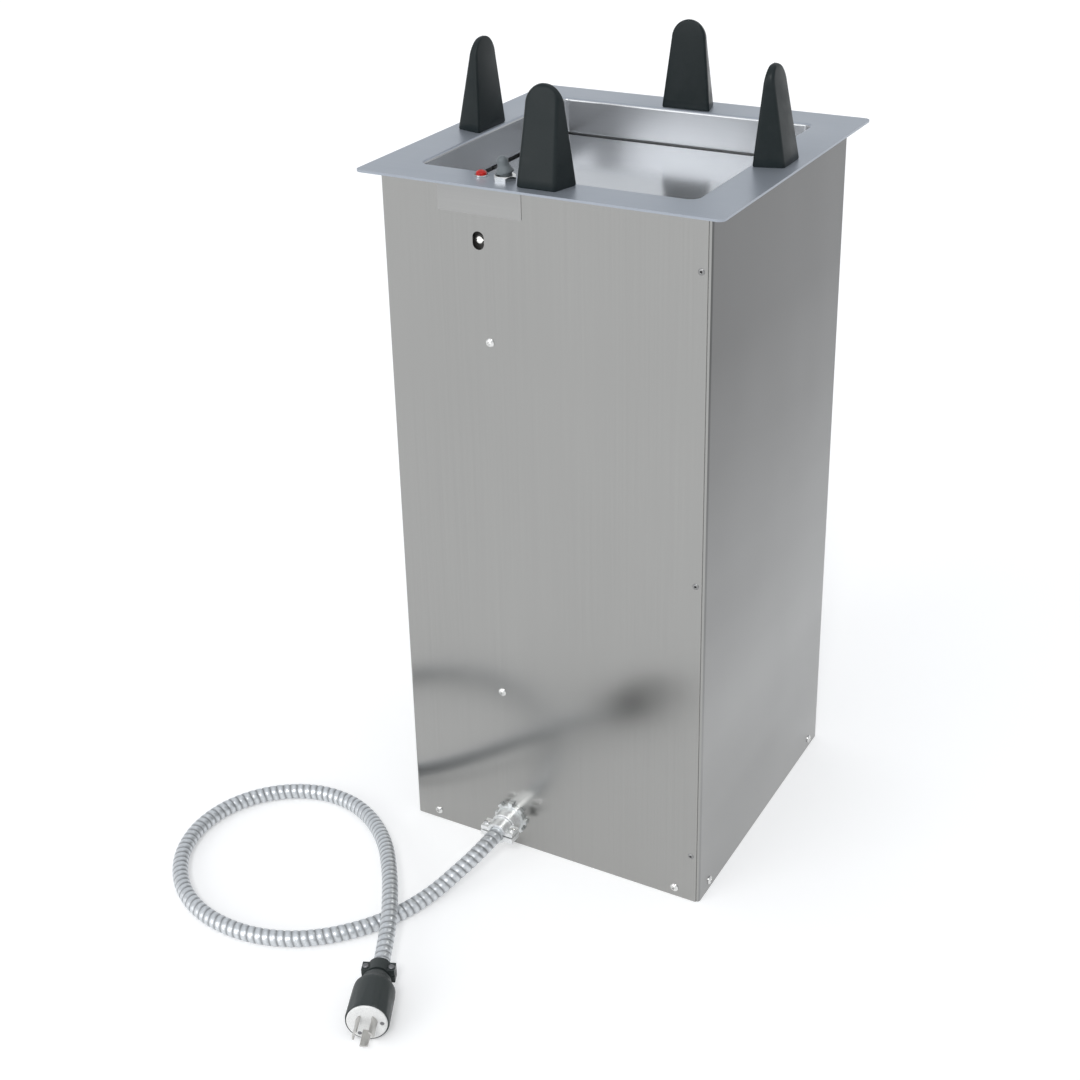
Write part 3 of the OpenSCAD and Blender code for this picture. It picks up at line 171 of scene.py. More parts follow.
class NodeSheet:
    """A material's node tree with the few calls that the finishes need."""

    def __init__(self, name: str) -> None:
        """Starts an empty material with a Principled shader on its output.

        Args:
            name: The material's name.
        """
        self.material = bpy.data.materials.new(name)
        self.material.use_nodes = True
        self.tree = self.material.node_tree
        self.tree.nodes.clear()
        self.output = self.tree.nodes.new("ShaderNodeOutputMaterial")
        self.shader = self.tree.nodes.new("ShaderNodeBsdfPrincipled")
        self.link(self.shader.outputs[0], self.output.inputs["Surface"])
        self.place = self.tree.nodes.new("ShaderNodeTexCoord").outputs["Object"]

    def link(self, source: Socket, target: Socket) -> None:
        """Joins two sockets."""
        self.tree.links.new(source, target)

    def noise(self, scale: Sequence[float], detail: float = 3.0, rough: float = 0.5) -> Socket:
        """Adds a cloudy noise over the object's coordinates.

        Args:
            scale: Periods in a metre along each axis.
            detail: Octaves of finer noise.
            rough: Share that each finer octave adds.

        Returns:
            The noise, about 0 to 1.
        """
        mapping = self.tree.nodes.new("ShaderNodeMapping")
        mapping.inputs["Scale"].default_value = tuple(scale)
        node = self.tree.nodes.new("ShaderNodeTexNoise")
        node.inputs["Scale"].default_value = 1.0
        node.inputs["Detail"].default_value = detail
        node.inputs["Roughness"].default_value = rough
        self.link(self.place, mapping.inputs["Vector"])
        self.link(mapping.outputs[0], node.inputs["Vector"])
        return node.outputs["Fac"]

    def height(self) -> Socket:
        """Adds a split of the object's coordinates.

        Returns:
            The height above the floor, in metres.
        """
        split = self.tree.nodes.new("ShaderNodeSeparateXYZ")
        self.link(self.place, split.inputs[0])
        return split.outputs["Z"]

    def cells(self, scale: float) -> Socket:
        """Adds a pattern of small cells.

        Args:
            scale: Cells in a metre.

        Returns:
            A value from 0 to 1 that is constant over each cell.
        """
        node = self.tree.nodes.new("ShaderNodeTexVoronoi")
        node.inputs["Scale"].default_value = scale
        self.link(self.place, node.inputs["Vector"])
        grey = self.tree.nodes.new("ShaderNodeRGBToBW")
        self.link(node.outputs["Color"], grey.inputs[0])
        return grey.outputs[0]

    def remap(self, value: Socket, low: float, high: float, start: float, end: float) -> Socket:
        """Carries one range over to another and stops at its ends.

        Args:
            value: The value to carry over.
            low: What start becomes.
            high: What end becomes.
            start: Start of the value's range.
            end: End of the value's range.

        Returns:
            The new value.
        """
        node = self.tree.nodes.new("ShaderNodeMapRange")
        ends = {"From Min": start, "From Max": end, "To Min": low, "To Max": high}
        for name, number in ends.items():
            node.inputs[name].default_value = number
        self.link(value, node.inputs["Value"])
        return node.outputs[0]

    def mix(self, factor: Socket, second: Sequence[float]) -> bpy.types.Node:
        """Adds a mix of two colours and sets the second one.

        Args:
            factor: How much of the second colour shows.
            second: The second colour.

        Returns:
            The node, whose first colour is still to be set.
        """
        node = self.tree.nodes.new("ShaderNodeMix")
        node.data_type = "RGBA"
        node.inputs[7].default_value = (*second, 1.0)
        self.link(factor, node.inputs[0])
        return node

    def blend(self, factor: Socket, first: Sequence[float], second: Sequence[float]) -> Socket:
        """Blends two colours.

        Args:
            factor: How much of the second colour shows.
            first: The colour at 0.
            second: The colour at 1.

        Returns:
            The blended colour.
        """
        node = self.mix(factor, second)
        node.inputs[6].default_value = (*first, 1.0)
        return node.outputs[2]

    def overlay(self, factor: Socket, under: Socket, colour: Sequence[float]) -> Socket:
        """Lays a colour over another socket's colour.

        Args:
            factor: How much of the upper colour shows.
            under: The lower colour.
            colour: The upper colour.

        Returns:
            The resulting colour.
        """
        node = self.mix(factor, colour)
        self.link(under, node.inputs[6])
        return node.outputs[2]

    def attribute(self, name: str) -> Socket:
        """Reads a number that the mesh carries at its points.

        Args:
            name: The attribute's name.

        Returns:
            The number.
        """
        node = self.tree.nodes.new("ShaderNodeAttribute")
        node.attribute_name = name
        return node.outputs["Fac"]

    def bump(self, height: Socket, depth: float, strength: float) -> None:
        """Tilts the surface by a height field.

        Args:
            height: The height field, 0 to 1.
            depth: What 1 stands for, in metres.
            strength: Share of the tilt that is used.
        """
        node = self.tree.nodes.new("ShaderNodeBump")
        node.inputs["Strength"].default_value = strength
        node.inputs["Distance"].default_value = depth
        self.link(height, node.inputs["Height"])
        self.link(node.outputs[0], self.shader.inputs["Normal"])

    def colour(self, socket: Socket) -> None:
        """Feeds the shader's colour."""
        self.link(socket, self.shader.inputs["Base Color"])

    def roughness(self, socket: Socket) -> None:
        """Feeds the shader's roughness."""
        self.link(socket, self.shader.inputs["Roughness"])

    def set(self, **values: float) -> None:
        """Sets the shader's own sockets; an underscore stands for a space."""
        for name, value in values.items():
            self.shader.inputs[name.replace("_", " ")].default_value = value


def shade(colour: Sequence[float], factor: float) -> tuple[float, ...]:
    """The colour, lighter or darker by the factor."""
    return tuple(min(1.0, c * factor) for c in colour)


@dataclass(frozen=True)
class Finish:
    """A surface finish: its material's name, the record's slot and its colour."""

    name: str
    slot: str
    colour: Point

    def build(self) -> bpy.types.Material:
        """Makes the material the first time and finds it later on.

        Returns:
            The material.
        """
        found = bpy.data.materials.get(self.name)
        if found is not None:
            return found
        sheet = NodeSheet(self.name)
        self.dress(sheet)
        return sheet.material

    def dress(self, sheet: NodeSheet) -> None:
        """Fills the sheet; each kind of finish has its own way."""
        raise NotImplementedError


@dataclass(frozen=True)
class BrushedSteel(Finish):
    """Stainless sheet with a fine straight grain, faint clouds and rubbed patches.

    With a painted top shade, the sheet gets darker from one height to another, in metres; this is
    painted shade, a darker reflection painted into the colour.
    """

    grain: Axis = Axis.Z
    rough_low: float = 0.18
    rough_high: float = 0.22
    anisotropic: float = 0.70
    grain_across: float = 700.0
    grain_along: float = 4.0
    grain_depth: float = 0.00002
    contrast: float = 0.025
    metallic: float = 1.0
    rub_scale: Point = (14.0, 14.0, 6.0)
    cloud: float = 0.12
    cloud_dark: float = 0.80
    cloud_scale: Point = (7.0, 7.0, 4.0)
    # Painted shade: how strongly, how dark and between which heights the sheet darkens towards
    # its top.
    painted_top_shade: float = 0.0
    top_shade_dark: float = 0.38
    top_shade_from: float = 0.16
    top_shade_to: float = 0.54

    def dress(self, sheet: NodeSheet) -> None:
        """Grain lines in colour and bump, clouds in colour and roughness.

        Args:
            sheet: The sheet to fill.
        """
        scale = [self.grain_across] * 3
        scale[self.grain.value] = self.grain_along
        lines = sheet.noise(scale, detail=4.0, rough=0.7)
        clouds = sheet.noise(self.cloud_scale, detail=2.0)
        rubbed = sheet.noise(self.rub_scale, detail=2.0)
        grain = sheet.remap(lines, 0.0, 1.0, 0.3, 0.7)
        dark, light = (shade(self.colour, 1 + sign * self.contrast) for sign in (-1, 1))
        base = sheet.blend(grain, dark, light)
        veil = sheet.remap(clouds, 0.0, self.cloud, 0.40, 0.75)
        tone = sheet.overlay(veil, base, shade(self.colour, self.cloud_dark))
        # Painted shade: the colour gets darker towards the top, standing in for a darker
        # reflection.
        if self.painted_top_shade:
            height = sheet.height()
            darker = sheet.remap(height, 0.0, self.painted_top_shade, self.top_shade_from, self.top_shade_to)
            tone = sheet.overlay(darker, tone, shade(self.colour, self.top_shade_dark))
        sheet.colour(tone)
        sheet.roughness(sheet.remap(rubbed, self.rough_low, self.rough_high, 0.3, 0.7))
        sheet.bump(lines, self.grain_depth, 0.05)
        sheet.set(Metallic=self.metallic, Anisotropic=self.anisotropic)


@dataclass(frozen=True)
class ZincPlate(Finish):
    """Plated or galvanised metal with pale crystals and duller spots."""

    crystal: float = 350.0
    rough: float = 0.34
    metallic: float = 0.9
    spot_scale: Point = (900.0, 900.0, 900.0)
    spot_depth: float = 0.00006

    def dress(self, sheet: NodeSheet) -> None:
        """Cells vary the colour, a fine noise the gloss and the surface.

        Args:
            sheet: The sheet to fill.
        """
        cells = sheet.cells(self.crystal)
        spots = sheet.noise(self.spot_scale, detail=4.0)
        base = sheet.blend(cells, shade(self.colour, 0.86), shade(self.colour, 1.10))
        dull = sheet.remap(spots, 0.0, 0.5, 0.52, 0.75)
        sheet.colour(sheet.overlay(dull, base, shade(self.colour, 0.72)))
        sheet.roughness(sheet.remap(spots, self.rough - 0.08, self.rough + 0.12, 0.3, 0.7))
        sheet.bump(spots, self.spot_depth, 0.4)
        sheet.set(Metallic=self.metallic)


@dataclass(frozen=True)
class TurnedMetal(Finish):
    """Bright turned or rolled metal with hair-fine marks."""

    rough: float = 0.18
    mark_scale: Point = (1500.0, 1500.0, 1500.0)
    mark_depth: float = 0.00002
    tarnish_scale: Point = (160.0, 160.0, 160.0)

    def dress(self, sheet: NodeSheet) -> None:
        """Marks in the gloss and a faint tarnish in the colour.

        Args:
            sheet: The sheet to fill.
        """
        marks = sheet.noise(self.mark_scale, detail=2.0)
        tarnish = sheet.noise(self.tarnish_scale, detail=4.0)
        share = sheet.remap(tarnish, 0.0, 1.0, 0.35, 0.7)
        sheet.colour(sheet.blend(share, self.colour, shade(self.colour, 0.78)))
        sheet.roughness(sheet.remap(marks, self.rough - 0.05, self.rough + 0.10, 0.3, 0.7))
        sheet.bump(marks, self.mark_depth, 0.3)
        sheet.set(Metallic=1.0)


@dataclass(frozen=True)
class MouldedPlastic(Finish):
    """Moulded plastic or rubber with a fine spark-eroded texture and dusty highs."""

    rough: float = 0.42
    pebble: float = 1400.0
    pebble_depth: float = 0.00005
    dust: float = 0.25
    specular: float = 0.5
    sheen: float = 0.0
    patch_scale: Point = (45.0, 45.0, 45.0)

    def dress(self, sheet: NodeSheet) -> None:
        """Pebbled bump, uneven gloss and a light veil of handling marks.

        Args:
            sheet: The sheet to fill.
        """
        pebble = sheet.noise((self.pebble,) * 3, detail=2.0, rough=0.6)
        patches = sheet.noise(self.patch_scale, detail=4.0, rough=0.6)
        pale = tuple(c + (0.5 - c) * 0.10 for c in self.colour)
        share = sheet.remap(pebble, 0.0, 1.0, 0.25, 0.75)
        base = sheet.blend(share, shade(self.colour, 0.85), shade(self.colour, 1.15))
        veil = sheet.remap(patches, 0.0, self.dust, 0.45, 0.75)
        sheet.colour(sheet.overlay(veil, base, pale))
        sheet.roughness(sheet.remap(patches, self.rough - 0.06, self.rough + 0.14, 0.35, 0.7))
        sheet.bump(pebble, self.pebble_depth, 0.6)
        sheet.set(Specular_IOR_Level=self.specular, Sheen_Weight=self.sheen)


@dataclass(frozen=True)
class RibbedSteel(Finish):
    """Galvanised steel strip wound into a conduit; the seams between the ribs are darker, painted
    shade that deepens with the seam.
    """

    rough: float = 0.34
    metallic: float = 0.85
    seam_rough: float = 0.6
    seam_painted_shade: float = 0.40
    spot_scale: Point = (500.0, 500.0, 500.0)
    spot_depth: float = 0.00004

    def dress(self, sheet: NodeSheet) -> None:
        """The mesh carries how deep each point lies in a seam.

        Args:
            sheet: The sheet to fill.
        """
        seam = sheet.attribute("seam")
        spots = sheet.noise(self.spot_scale, detail=3.0)
        share = sheet.remap(spots, 0.0, 1.0, 0.35, 0.7)
        base = sheet.blend(share, self.colour, shade(self.colour, 0.82))
        # Painted shade: the colour darkens with each point's depth in a seam.
        sheet.colour(sheet.overlay(seam, base, shade(self.colour, self.seam_painted_shade)))
        sheet.roughness(sheet.remap(seam, self.rough, self.seam_rough, 0.0, 1.0))
        sheet.bump(spots, self.spot_depth, 0.3)
        sheet.set(Metallic=self.metallic)


@dataclass(frozen=True)
class LampLens(Finish):
    """Coloured clear plastic over a small lamp, with a moulded pattern inside."""

    facets: float = 900.0
    facet_depth: float = 0.0001
    coat: float = 0.1
    glow: float = 0.10

    def dress(self, sheet: NodeSheet) -> None:
        """Cells give the facets of the lens, and the clear coat its gloss.

        Args:
            sheet: The sheet to fill.
        """
        cells = sheet.cells(self.facets)
        sheet.colour(sheet.blend(cells, shade(self.colour, 0.7), shade(self.colour, 1.3)))
        sheet.roughness(sheet.remap(cells, 0.10, 0.22, 0.0, 1.0))
        sheet.bump(cells, self.facet_depth, 0.3)
        sheet.set(Specular_IOR_Level=0.3, Coat_Weight=self.coat, Emission_Strength=self.glow)
        sheet.shader.inputs["Emission Color"].default_value = (*self.colour, 1.0)


FLANGE_STEEL = BrushedSteel(
    name="flange_brushed_steel",
    slot="flange_steel",
    colour=(0.357, 0.390, 0.438),
    grain=Axis.X,
    rough_low=0.32,
    rough_high=0.39,
    anisotropic=0.0,
    metallic=0.58,
)
# Painted light: a lighter copy of the flange steel for the upright collar faces round the well.
COLLAR_STEEL_PAINTED_LIGHT = BrushedSteel(
    name="collar_steel_painted_light",
    slot="flange_steel",
    colour=(0.47, 0.48, 0.495),
    grain=Axis.X,
    rough_low=0.20,
    rough_high=0.27,
    anisotropic=0.0,
    metallic=0.72,
)
CABINET_STEEL = BrushedSteel("cabinet_brushed_steel", "cabinet_steel", (0.362, 0.360, 0.350))
# Painted shade: a darker copy of the cabinet steel for the side panel's right-facing faces. It
# darkens towards the top and has broad dark bands that paint in reflections.
SHADED_SIDE_STEEL = BrushedSteel(
    name="side_steel_painted_shade",
    slot="cabinet_steel",
    colour=(0.320, 0.320, 0.317),
    cloud=1.0,
    cloud_scale=(1.2, 1.2, 8.0),
    painted_top_shade=1.0,
)
# Painted light: the same steel as the flange, made brighter to make up for the shade in the well.
PLATFORM_STEEL_PAINTED_LIGHT = BrushedSteel(
    name="platform_steel_painted_light",
    slot="platform_steel",
    colour=(0.585, 0.605, 0.632),
    grain=Axis.X,
    rough_low=0.14,
    rough_high=0.18,
    anisotropic=0.0,
    metallic=0.80,
)
INNER_STEEL = BrushedSteel(
    name="liner_steel",
    slot="inner_steel",
    colour=(0.45, 0.45, 0.45),
    rough_low=0.32,
    rough_high=0.42,
    anisotropic=0.2,
)
LABEL_BLANK = BrushedSteel(
    name="bare_label_foil",
    slot="label_blank",
    colour=(0.352, 0.352, 0.347),
    grain=Axis.X,
    rough_low=0.40,
    rough_high=0.50,
    anisotropic=0.0,
    contrast=0.02,
)
ZINC = ZincPlate("zinc_plate", "zinc", (0.66, 0.68, 0.68))
CAST_ZINC = ZincPlate(
    "cast_zinc", "zinc", (0.86, 0.87, 0.87), crystal=600.0, rough=0.38, metallic=0.85
)
BRIGHT = TurnedMetal("bright_fastener_metal", "bright_fastener", (0.78, 0.78, 0.77))
DARK_SCREW = TurnedMetal("dark_screw_metal", "bright_fastener", (0.24, 0.24, 0.25), rough=0.4)
DARK_RIVET = TurnedMetal("dark_rivet_metal", "dark_rivet", (0.30, 0.30, 0.30), rough=0.35)
# Painted shade: near-black metal for a rivet's sunken stem and the hole round it.
RIVET_HOLLOW_SHADE = TurnedMetal("rivet_hollow_painted_shade", "dark_rivet", (0.05, 0.05, 0.05), rough=0.5)
SPRING_STEEL = TurnedMetal("spring_wire", "spring_steel", (0.45, 0.45, 0.46), rough=0.28)
HEATER_SHEATH = TurnedMetal(
    "heater_tube_sheath", "heater_sheath", (0.14, 0.13, 0.125), rough=0.5
)
SPINDLE_BRASS = TurnedMetal("spindle_plated", "spindle_brass", (0.93, 0.92, 0.89), rough=0.16)
COPPER = TurnedMetal("capillary_copper", "copper_tube", (0.72, 0.43, 0.28), rough=0.3)
BLADE_METAL = TurnedMetal("blade_metal", "blade_metal", (0.74, 0.72, 0.68), rough=0.25)
CONDUIT_STEEL = RibbedSteel("conduit_steel_strip", "conduit_steel", (0.73, 0.755, 0.78))
LENS_RED = LampLens("pilot_red_lens", "pilot_red", (0.38, 0.008, 0.005))
GUIDE_PLASTIC = MouldedPlastic(
    name="guide_moulded_plastic",
    slot="guide_plastic",
    colour=(0.0085, 0.0138, 0.0150),
    rough=0.34,
    dust=0.12,
    specular=0.20,
)
BOOT_RUBBER = MouldedPlastic(
    name="switch_boot_rubber",
    slot="boot_rubber",
    colour=(0.140, 0.158, 0.168),
    rough=0.5,
    pebble=900.0,
    specular=0.3,
    sheen=0.05,
)
PLUG_BLACK = MouldedPlastic(
    name="plug_black_nylon",
    slot="plug_black",
    colour=(0.034, 0.041, 0.041),
    rough=0.40,
    dust=0.15,
    specular=0.35,
)
PLUG_WHITE = MouldedPlastic(
    "plug_white_nylon", "plug_white", (0.78, 0.78, 0.77), rough=0.38, dust=0.1
)
CONTROL_PLASTIC = MouldedPlastic(
    "terminal_moulding", "control_plastic", (0.72, 0.70, 0.64), rough=0.45, dust=0.15
)
# Painted shade: the thermostat body is made near-black so that its slot reads as a dark hollow
# round the spindle.
CONTROL_PAINTED_SHADE = MouldedPlastic(
    "thermostat_moulding_painted_shade", "control_plastic", (0.05, 0.048, 0.045), rough=0.5, dust=0.1
)
BUMPER_RUBBER = MouldedPlastic(
    "stop_bumper_rubber", "bumper_rubber", (0.02, 0.02, 0.02), rough=0.7
)
BLACK_PLASTIC = MouldedPlastic(
    "switch_moulding", "black_plastic", (0.02, 0.02, 0.02), rough=0.5
)
WIRE_COVER = MouldedPlastic("wire_cover", "wire_insulation", (0.35, 0.04, 0.04), rough=0.35)
ROLLER_PLASTIC = MouldedPlastic(
    "roller_acetal", "roller_plastic", (0.74, 0.72, 0.66), rough=0.35
)


# Modelling helpers


def deselect() -> None:
    """Clears the selection."""
    bpy.ops.object.select_all(action="DESELECT")


def activate(obj: bpy.types.Object) -> None:
    """Makes one object the selected and the active one.

    Args:
        obj: The object.
    """
    deselect()
    obj.select_set(True)
    bpy.context.view_layer.objects.active = obj


class EditMode:
    """Edit mode on one object, as a with block."""

    def __init__(self, obj: bpy.types.Object) -> None:
        """Keeps the object."""
        self.obj = obj

    def __enter__(self) -> "EditMode":
        """Opens edit mode.

        Returns:
            This helper, for what the block does with the mesh.
        """
        activate(self.obj)
        bpy.ops.object.mode_set(mode="EDIT")
        return self

    def __exit__(self, *_: object) -> None:
        """Closes edit mode."""
        bpy.ops.object.mode_set(mode="OBJECT")

    def mesh(self) -> bmesh.types.BMesh:
        """Opens the mesh that is being edited.

        Returns:
            The mesh, with its points, edges and faces ready to be picked by number.
        """
        mesh = bmesh.from_edit_mesh(self.obj.data)
        mesh.verts.ensure_lookup_table()
        mesh.edges.ensure_lookup_table()
        mesh.faces.ensure_lookup_table()
        return mesh

    def update(self) -> None:
        """Shows changes of the mesh to the operators."""
        bmesh.update_edit_mesh(self.obj.data)

    def pick(self, test: Callable[[bmesh.types.BMFace], bool]) -> None:
        """Selects the faces that pass the test and no others.

        Args:
            test: Says whether a face is picked.
        """
        bpy.ops.mesh.select_mode(type="FACE")
        bpy.ops.mesh.select_all(action="DESELECT")
        for face in self.mesh().faces:
            if test(face):
                face.select_set(True)
        self.update()


def settle(obj: bpy.types.Object, matrix: Matrix | None = None) -> bpy.types.Object:
    """Turns an object's mesh from millimetres into metres and puts the object at the origin.

    Args:
        obj: The object.
        matrix: A move of the mesh before that, in millimetres.

    Returns:
        The same object.
    """
    if matrix is not None:
        obj.data.transform(matrix)
    obj.data.transform(Matrix.Scale(MM, 4))
    obj.matrix_world = Matrix.Identity(4)
    obj.data.update()
    return obj


def smooth(obj: bpy.types.Object, degrees: float) -> None:
    """Shades a mesh smooth, apart from edges sharper than the angle in degrees."""
    activate(obj)
    bpy.ops.object.shade_smooth_by_angle(angle=math.radians(degrees))


def apply_modifier(obj: bpy.types.Object, kind: str, **settings: object) -> None:
    """Adds a modifier and applies it.

    Args:
        obj: The object.
        kind: The kind of modifier.
        **settings: The modifier's settings by name.
    """
    activate(obj)
    modifier = obj.modifiers.new(kind.lower(), kind)
    for name, value in settings.items():
        setattr(modifier, name, value)
    bpy.ops.object.modifier_apply(modifier=modifier.name)


def bevel(obj: bpy.types.Object, width: float) -> None:
    """Rounds the sharp edges with two facets.

    Args:
        obj: The object.
        width: Width of the rounding, in the mesh's own unit.
    """
    apply_modifier(
        obj,
        "BEVEL",
        width=width,
        segments=2,
        limit_method="ANGLE",
        angle_limit=math.radians(SHARP_DEGREES),
        miter_outer="MITER_ARC",
    )


def outward(obj: bpy.types.Object, merge: float) -> None:
    """Merges doubles and turns all faces outwards.

    Args:
        obj: The object.
        merge: Points nearer than this are one, in the mesh's own unit.
    """
    with EditMode(obj):
        bpy.ops.mesh.select_all(action="SELECT")
        bpy.ops.mesh.remove_doubles(threshold=merge)
        bpy.ops.mesh.normals_make_consistent(inside=False)


def paint(obj: bpy.types.Object, finish: Finish) -> None:
    """Gives an object its material.

    Args:
        obj: The object.
        finish: Its finish.
    """
    obj.data.materials.clear()
    obj.data.materials.append(finish.build())


def seat(obj: bpy.types.Object, body: str, node: str) -> bpy.types.Object:
    """Lets a finished piece ride on its body and stand for its CAD node.

    Args:
        obj: The piece.
        body: The body that it rides on.
        node: The CAD node that it replaces.

    Returns:
        The same piece.
    """
    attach(obj, body)
    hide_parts(node)
    LOG.info("%s rides on %s", obj.name, body)
    return obj


def spin_profile(name: str, profile: Sequence[tuple[float, float]]) -> bpy.types.Object:
    """Turns a profile round the Z axis, as on a lathe.

    Args:
        name: The new object's name.
        profile: Radius and height of each point, in millimetres, from axis to axis.

    Returns:
        The closed turned solid, still in millimetres.
    """
    bpy.ops.mesh.primitive_plane_add(size=1.0)
    obj = bpy.context.object
    obj.name = obj.data.name = name
    with EditMode(obj) as edit:
        mesh = edit.mesh()
        bmesh.ops.delete(mesh, geom=mesh.verts[1:], context="VERTS")
        mesh.verts.ensure_lookup_table()
        mesh.verts[0].co = (profile[0][0], 0.0, profile[0][1])
        bpy.ops.mesh.select_mode(type="VERT")
        mesh.verts[0].select_set(True)
        edit.update()
        for start, end in zip(profile, profile[1:]):
            step = (end[0] - start[0], 0.0, end[1] - start[1])
            bpy.ops.mesh.extrude_vertices_move(TRANSFORM_OT_translate={"value": step})
        bpy.ops.mesh.select_all(action="SELECT")
        bpy.ops.mesh.spin(
            steps=TURNED_FACETS,
            angle=math.tau,
            center=(0.0, 0.0, 0.0),
            axis=(0.0, 0.0, 1.0),
            use_auto_merge=True,
        )
    outward(obj, TURNED_MERGE)
    return obj


def copy_piece(obj: bpy.types.Object, name: str) -> bpy.types.Object:
    """Copies a piece with its mesh.

    Args:
        obj: The piece.
        name: The copy's name.

    Returns:
        The copy.
    """
    twin = obj.copy()
    twin.data = obj.data.copy()
    twin.name = twin.data.name = name
    bpy.context.collection.objects.link(twin)
    return twin


def join(pieces: Sequence[bpy.types.Object], name: str) -> bpy.types.Object:
    """Joins pieces into one object.

    Args:
        pieces: The pieces.
        name: The joined object's name.

    Returns:
        The joined object.
    """
    deselect()
    for piece in pieces:
        piece.select_set(True)
    bpy.context.view_layer.objects.active = pieces[0]
    bpy.ops.object.join()
    pieces[0].name = pieces[0].data.name = name
    return pieces[0]


def array_of(pattern: bpy.types.Object, places: Iterable[Matrix], name: str) -> bpy.types.Object:
    """Copies a pattern to each place, joins the copies and settles them.

    Args:
        pattern: The piece to copy, still in millimetres. It is removed.
        places: A matrix for each copy, in millimetres.
        name: The joined object's name.

    Returns:
        The joined copies, in metres.
    """
    copies = []
    for i, place in enumerate(places):
        twin = copy_piece(pattern, f"{name}_{i}")
        twin.data.transform(place)
        copies.append(twin)
    bpy.data.objects.remove(pattern)
    return settle(join(copies, name))


def refined(node: bpy.types.Object, finish: Finish, edge: float) -> bpy.types.Object:
    """A merged, soft-edged copy of a CAD node, ready to replace it.

    Args:
        node: The CAD node's object.
        finish: The copy's finish.
        edge: Width of the rounded edges, in millimetres, or 0 for edges as they are.

    Returns:
        The copy, dressed and named after its node.
    """
    twin = node.copy()
    twin.data = node.data.copy()
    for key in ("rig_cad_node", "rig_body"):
        if key in twin:
            del twin[key]
    twin.parent = None
    twin.matrix_world = Matrix.Identity(4)
    twin.name = twin.data.name = f"{node.name}_finished"
    bpy.context.collection.objects.link(twin)
    with EditMode(twin):
        bpy.ops.mesh.select_all(action="SELECT")
        bpy.ops.mesh.remove_doubles(threshold=CAD_MERGE)
        bpy.ops.mesh.dissolve_limited(angle_limit=math.radians(FLAT_DEGREES))
    if edge > 0:
        bevel(twin, edge * MM)
    smooth(twin, SHARP_DEGREES)
    apply_modifier(twin, "WEIGHTED_NORMAL", keep_sharp=True, weight=FACE_WEIGHT)
    paint(twin, finish)
    return twin


@dataclass(frozen=True)
class Dressing:
    """How one CAD node is dressed: its finish, the width of its rounded edges and its body."""

    node: str
    finish: Finish
    edge: float = 0.0
    body: str = "cabinet"

    def build(self, frame: dict) -> bpy.types.Object:
        """Seats a finished copy in the node's place and returns it."""
        twin = refined(frame["nodes"][self.node], self.finish, self.edge)
        return seat(twin, self.body, self.node)


@dataclass(frozen=True)
class DressedNodes:
    """A sub-assembly whose pieces are finished copies of CAD nodes."""

    pieces: tuple[Dressing, ...] = ()

    def build(self, frame: dict) -> None:
        """Dresses the pieces in turn."""
        for piece in self.pieces:
            piece.build(frame)


def loft(name: str, outlines: Sequence[Sequence[Vector]]) -> bpy.types.Object:
    """Extrudes a circle's edge loop through closed outlines and caps both ends.

    Args:
        name: The new object's name.
        outlines: Rings with the same number of points, in millimetres.

    Returns:
        The closed solid, still in millimetres.
    """
    count = len(outlines[0])
    bpy.ops.mesh.primitive_circle_add(vertices=count, radius=1.0, fill_type="NGON")
    obj = bpy.context.object
    obj.name = obj.data.name = name
    with EditMode(obj) as edit:
        mesh = edit.mesh()
        ring = list(mesh.verts)
        for vertex, point in zip(ring, outlines[0]):
            vertex.co = point
        bpy.ops.mesh.select_mode(type="EDGE")
        bpy.ops.mesh.select_all(action="SELECT")
        edit.update()
        for outline in outlines[1:]:
            before = {v.index for v in ring}
            bpy.ops.mesh.extrude_edges_move(TRANSFORM_OT_translate={"value": (0.0, 0.0, 0.001)})
            mesh = edit.mesh()
            fresh: list[bmesh.types.BMVert] = [None] * count
            order = {v.index: i for i, v in enumerate(ring)}
            for edge in mesh.edges:
                a, b = edge.verts
                for old, new in ((a, b), (b, a)):
                    if old.index in before and new.select and not old.select:
                        fresh[order[old.index]] = new
            ring = fresh
            for vertex, point in zip(ring, outline):
                vertex.co = point
            edit.update()
        bpy.ops.mesh.edge_face_add()
    outward(obj, LOFTED_MERGE)
    return obj


# Stage


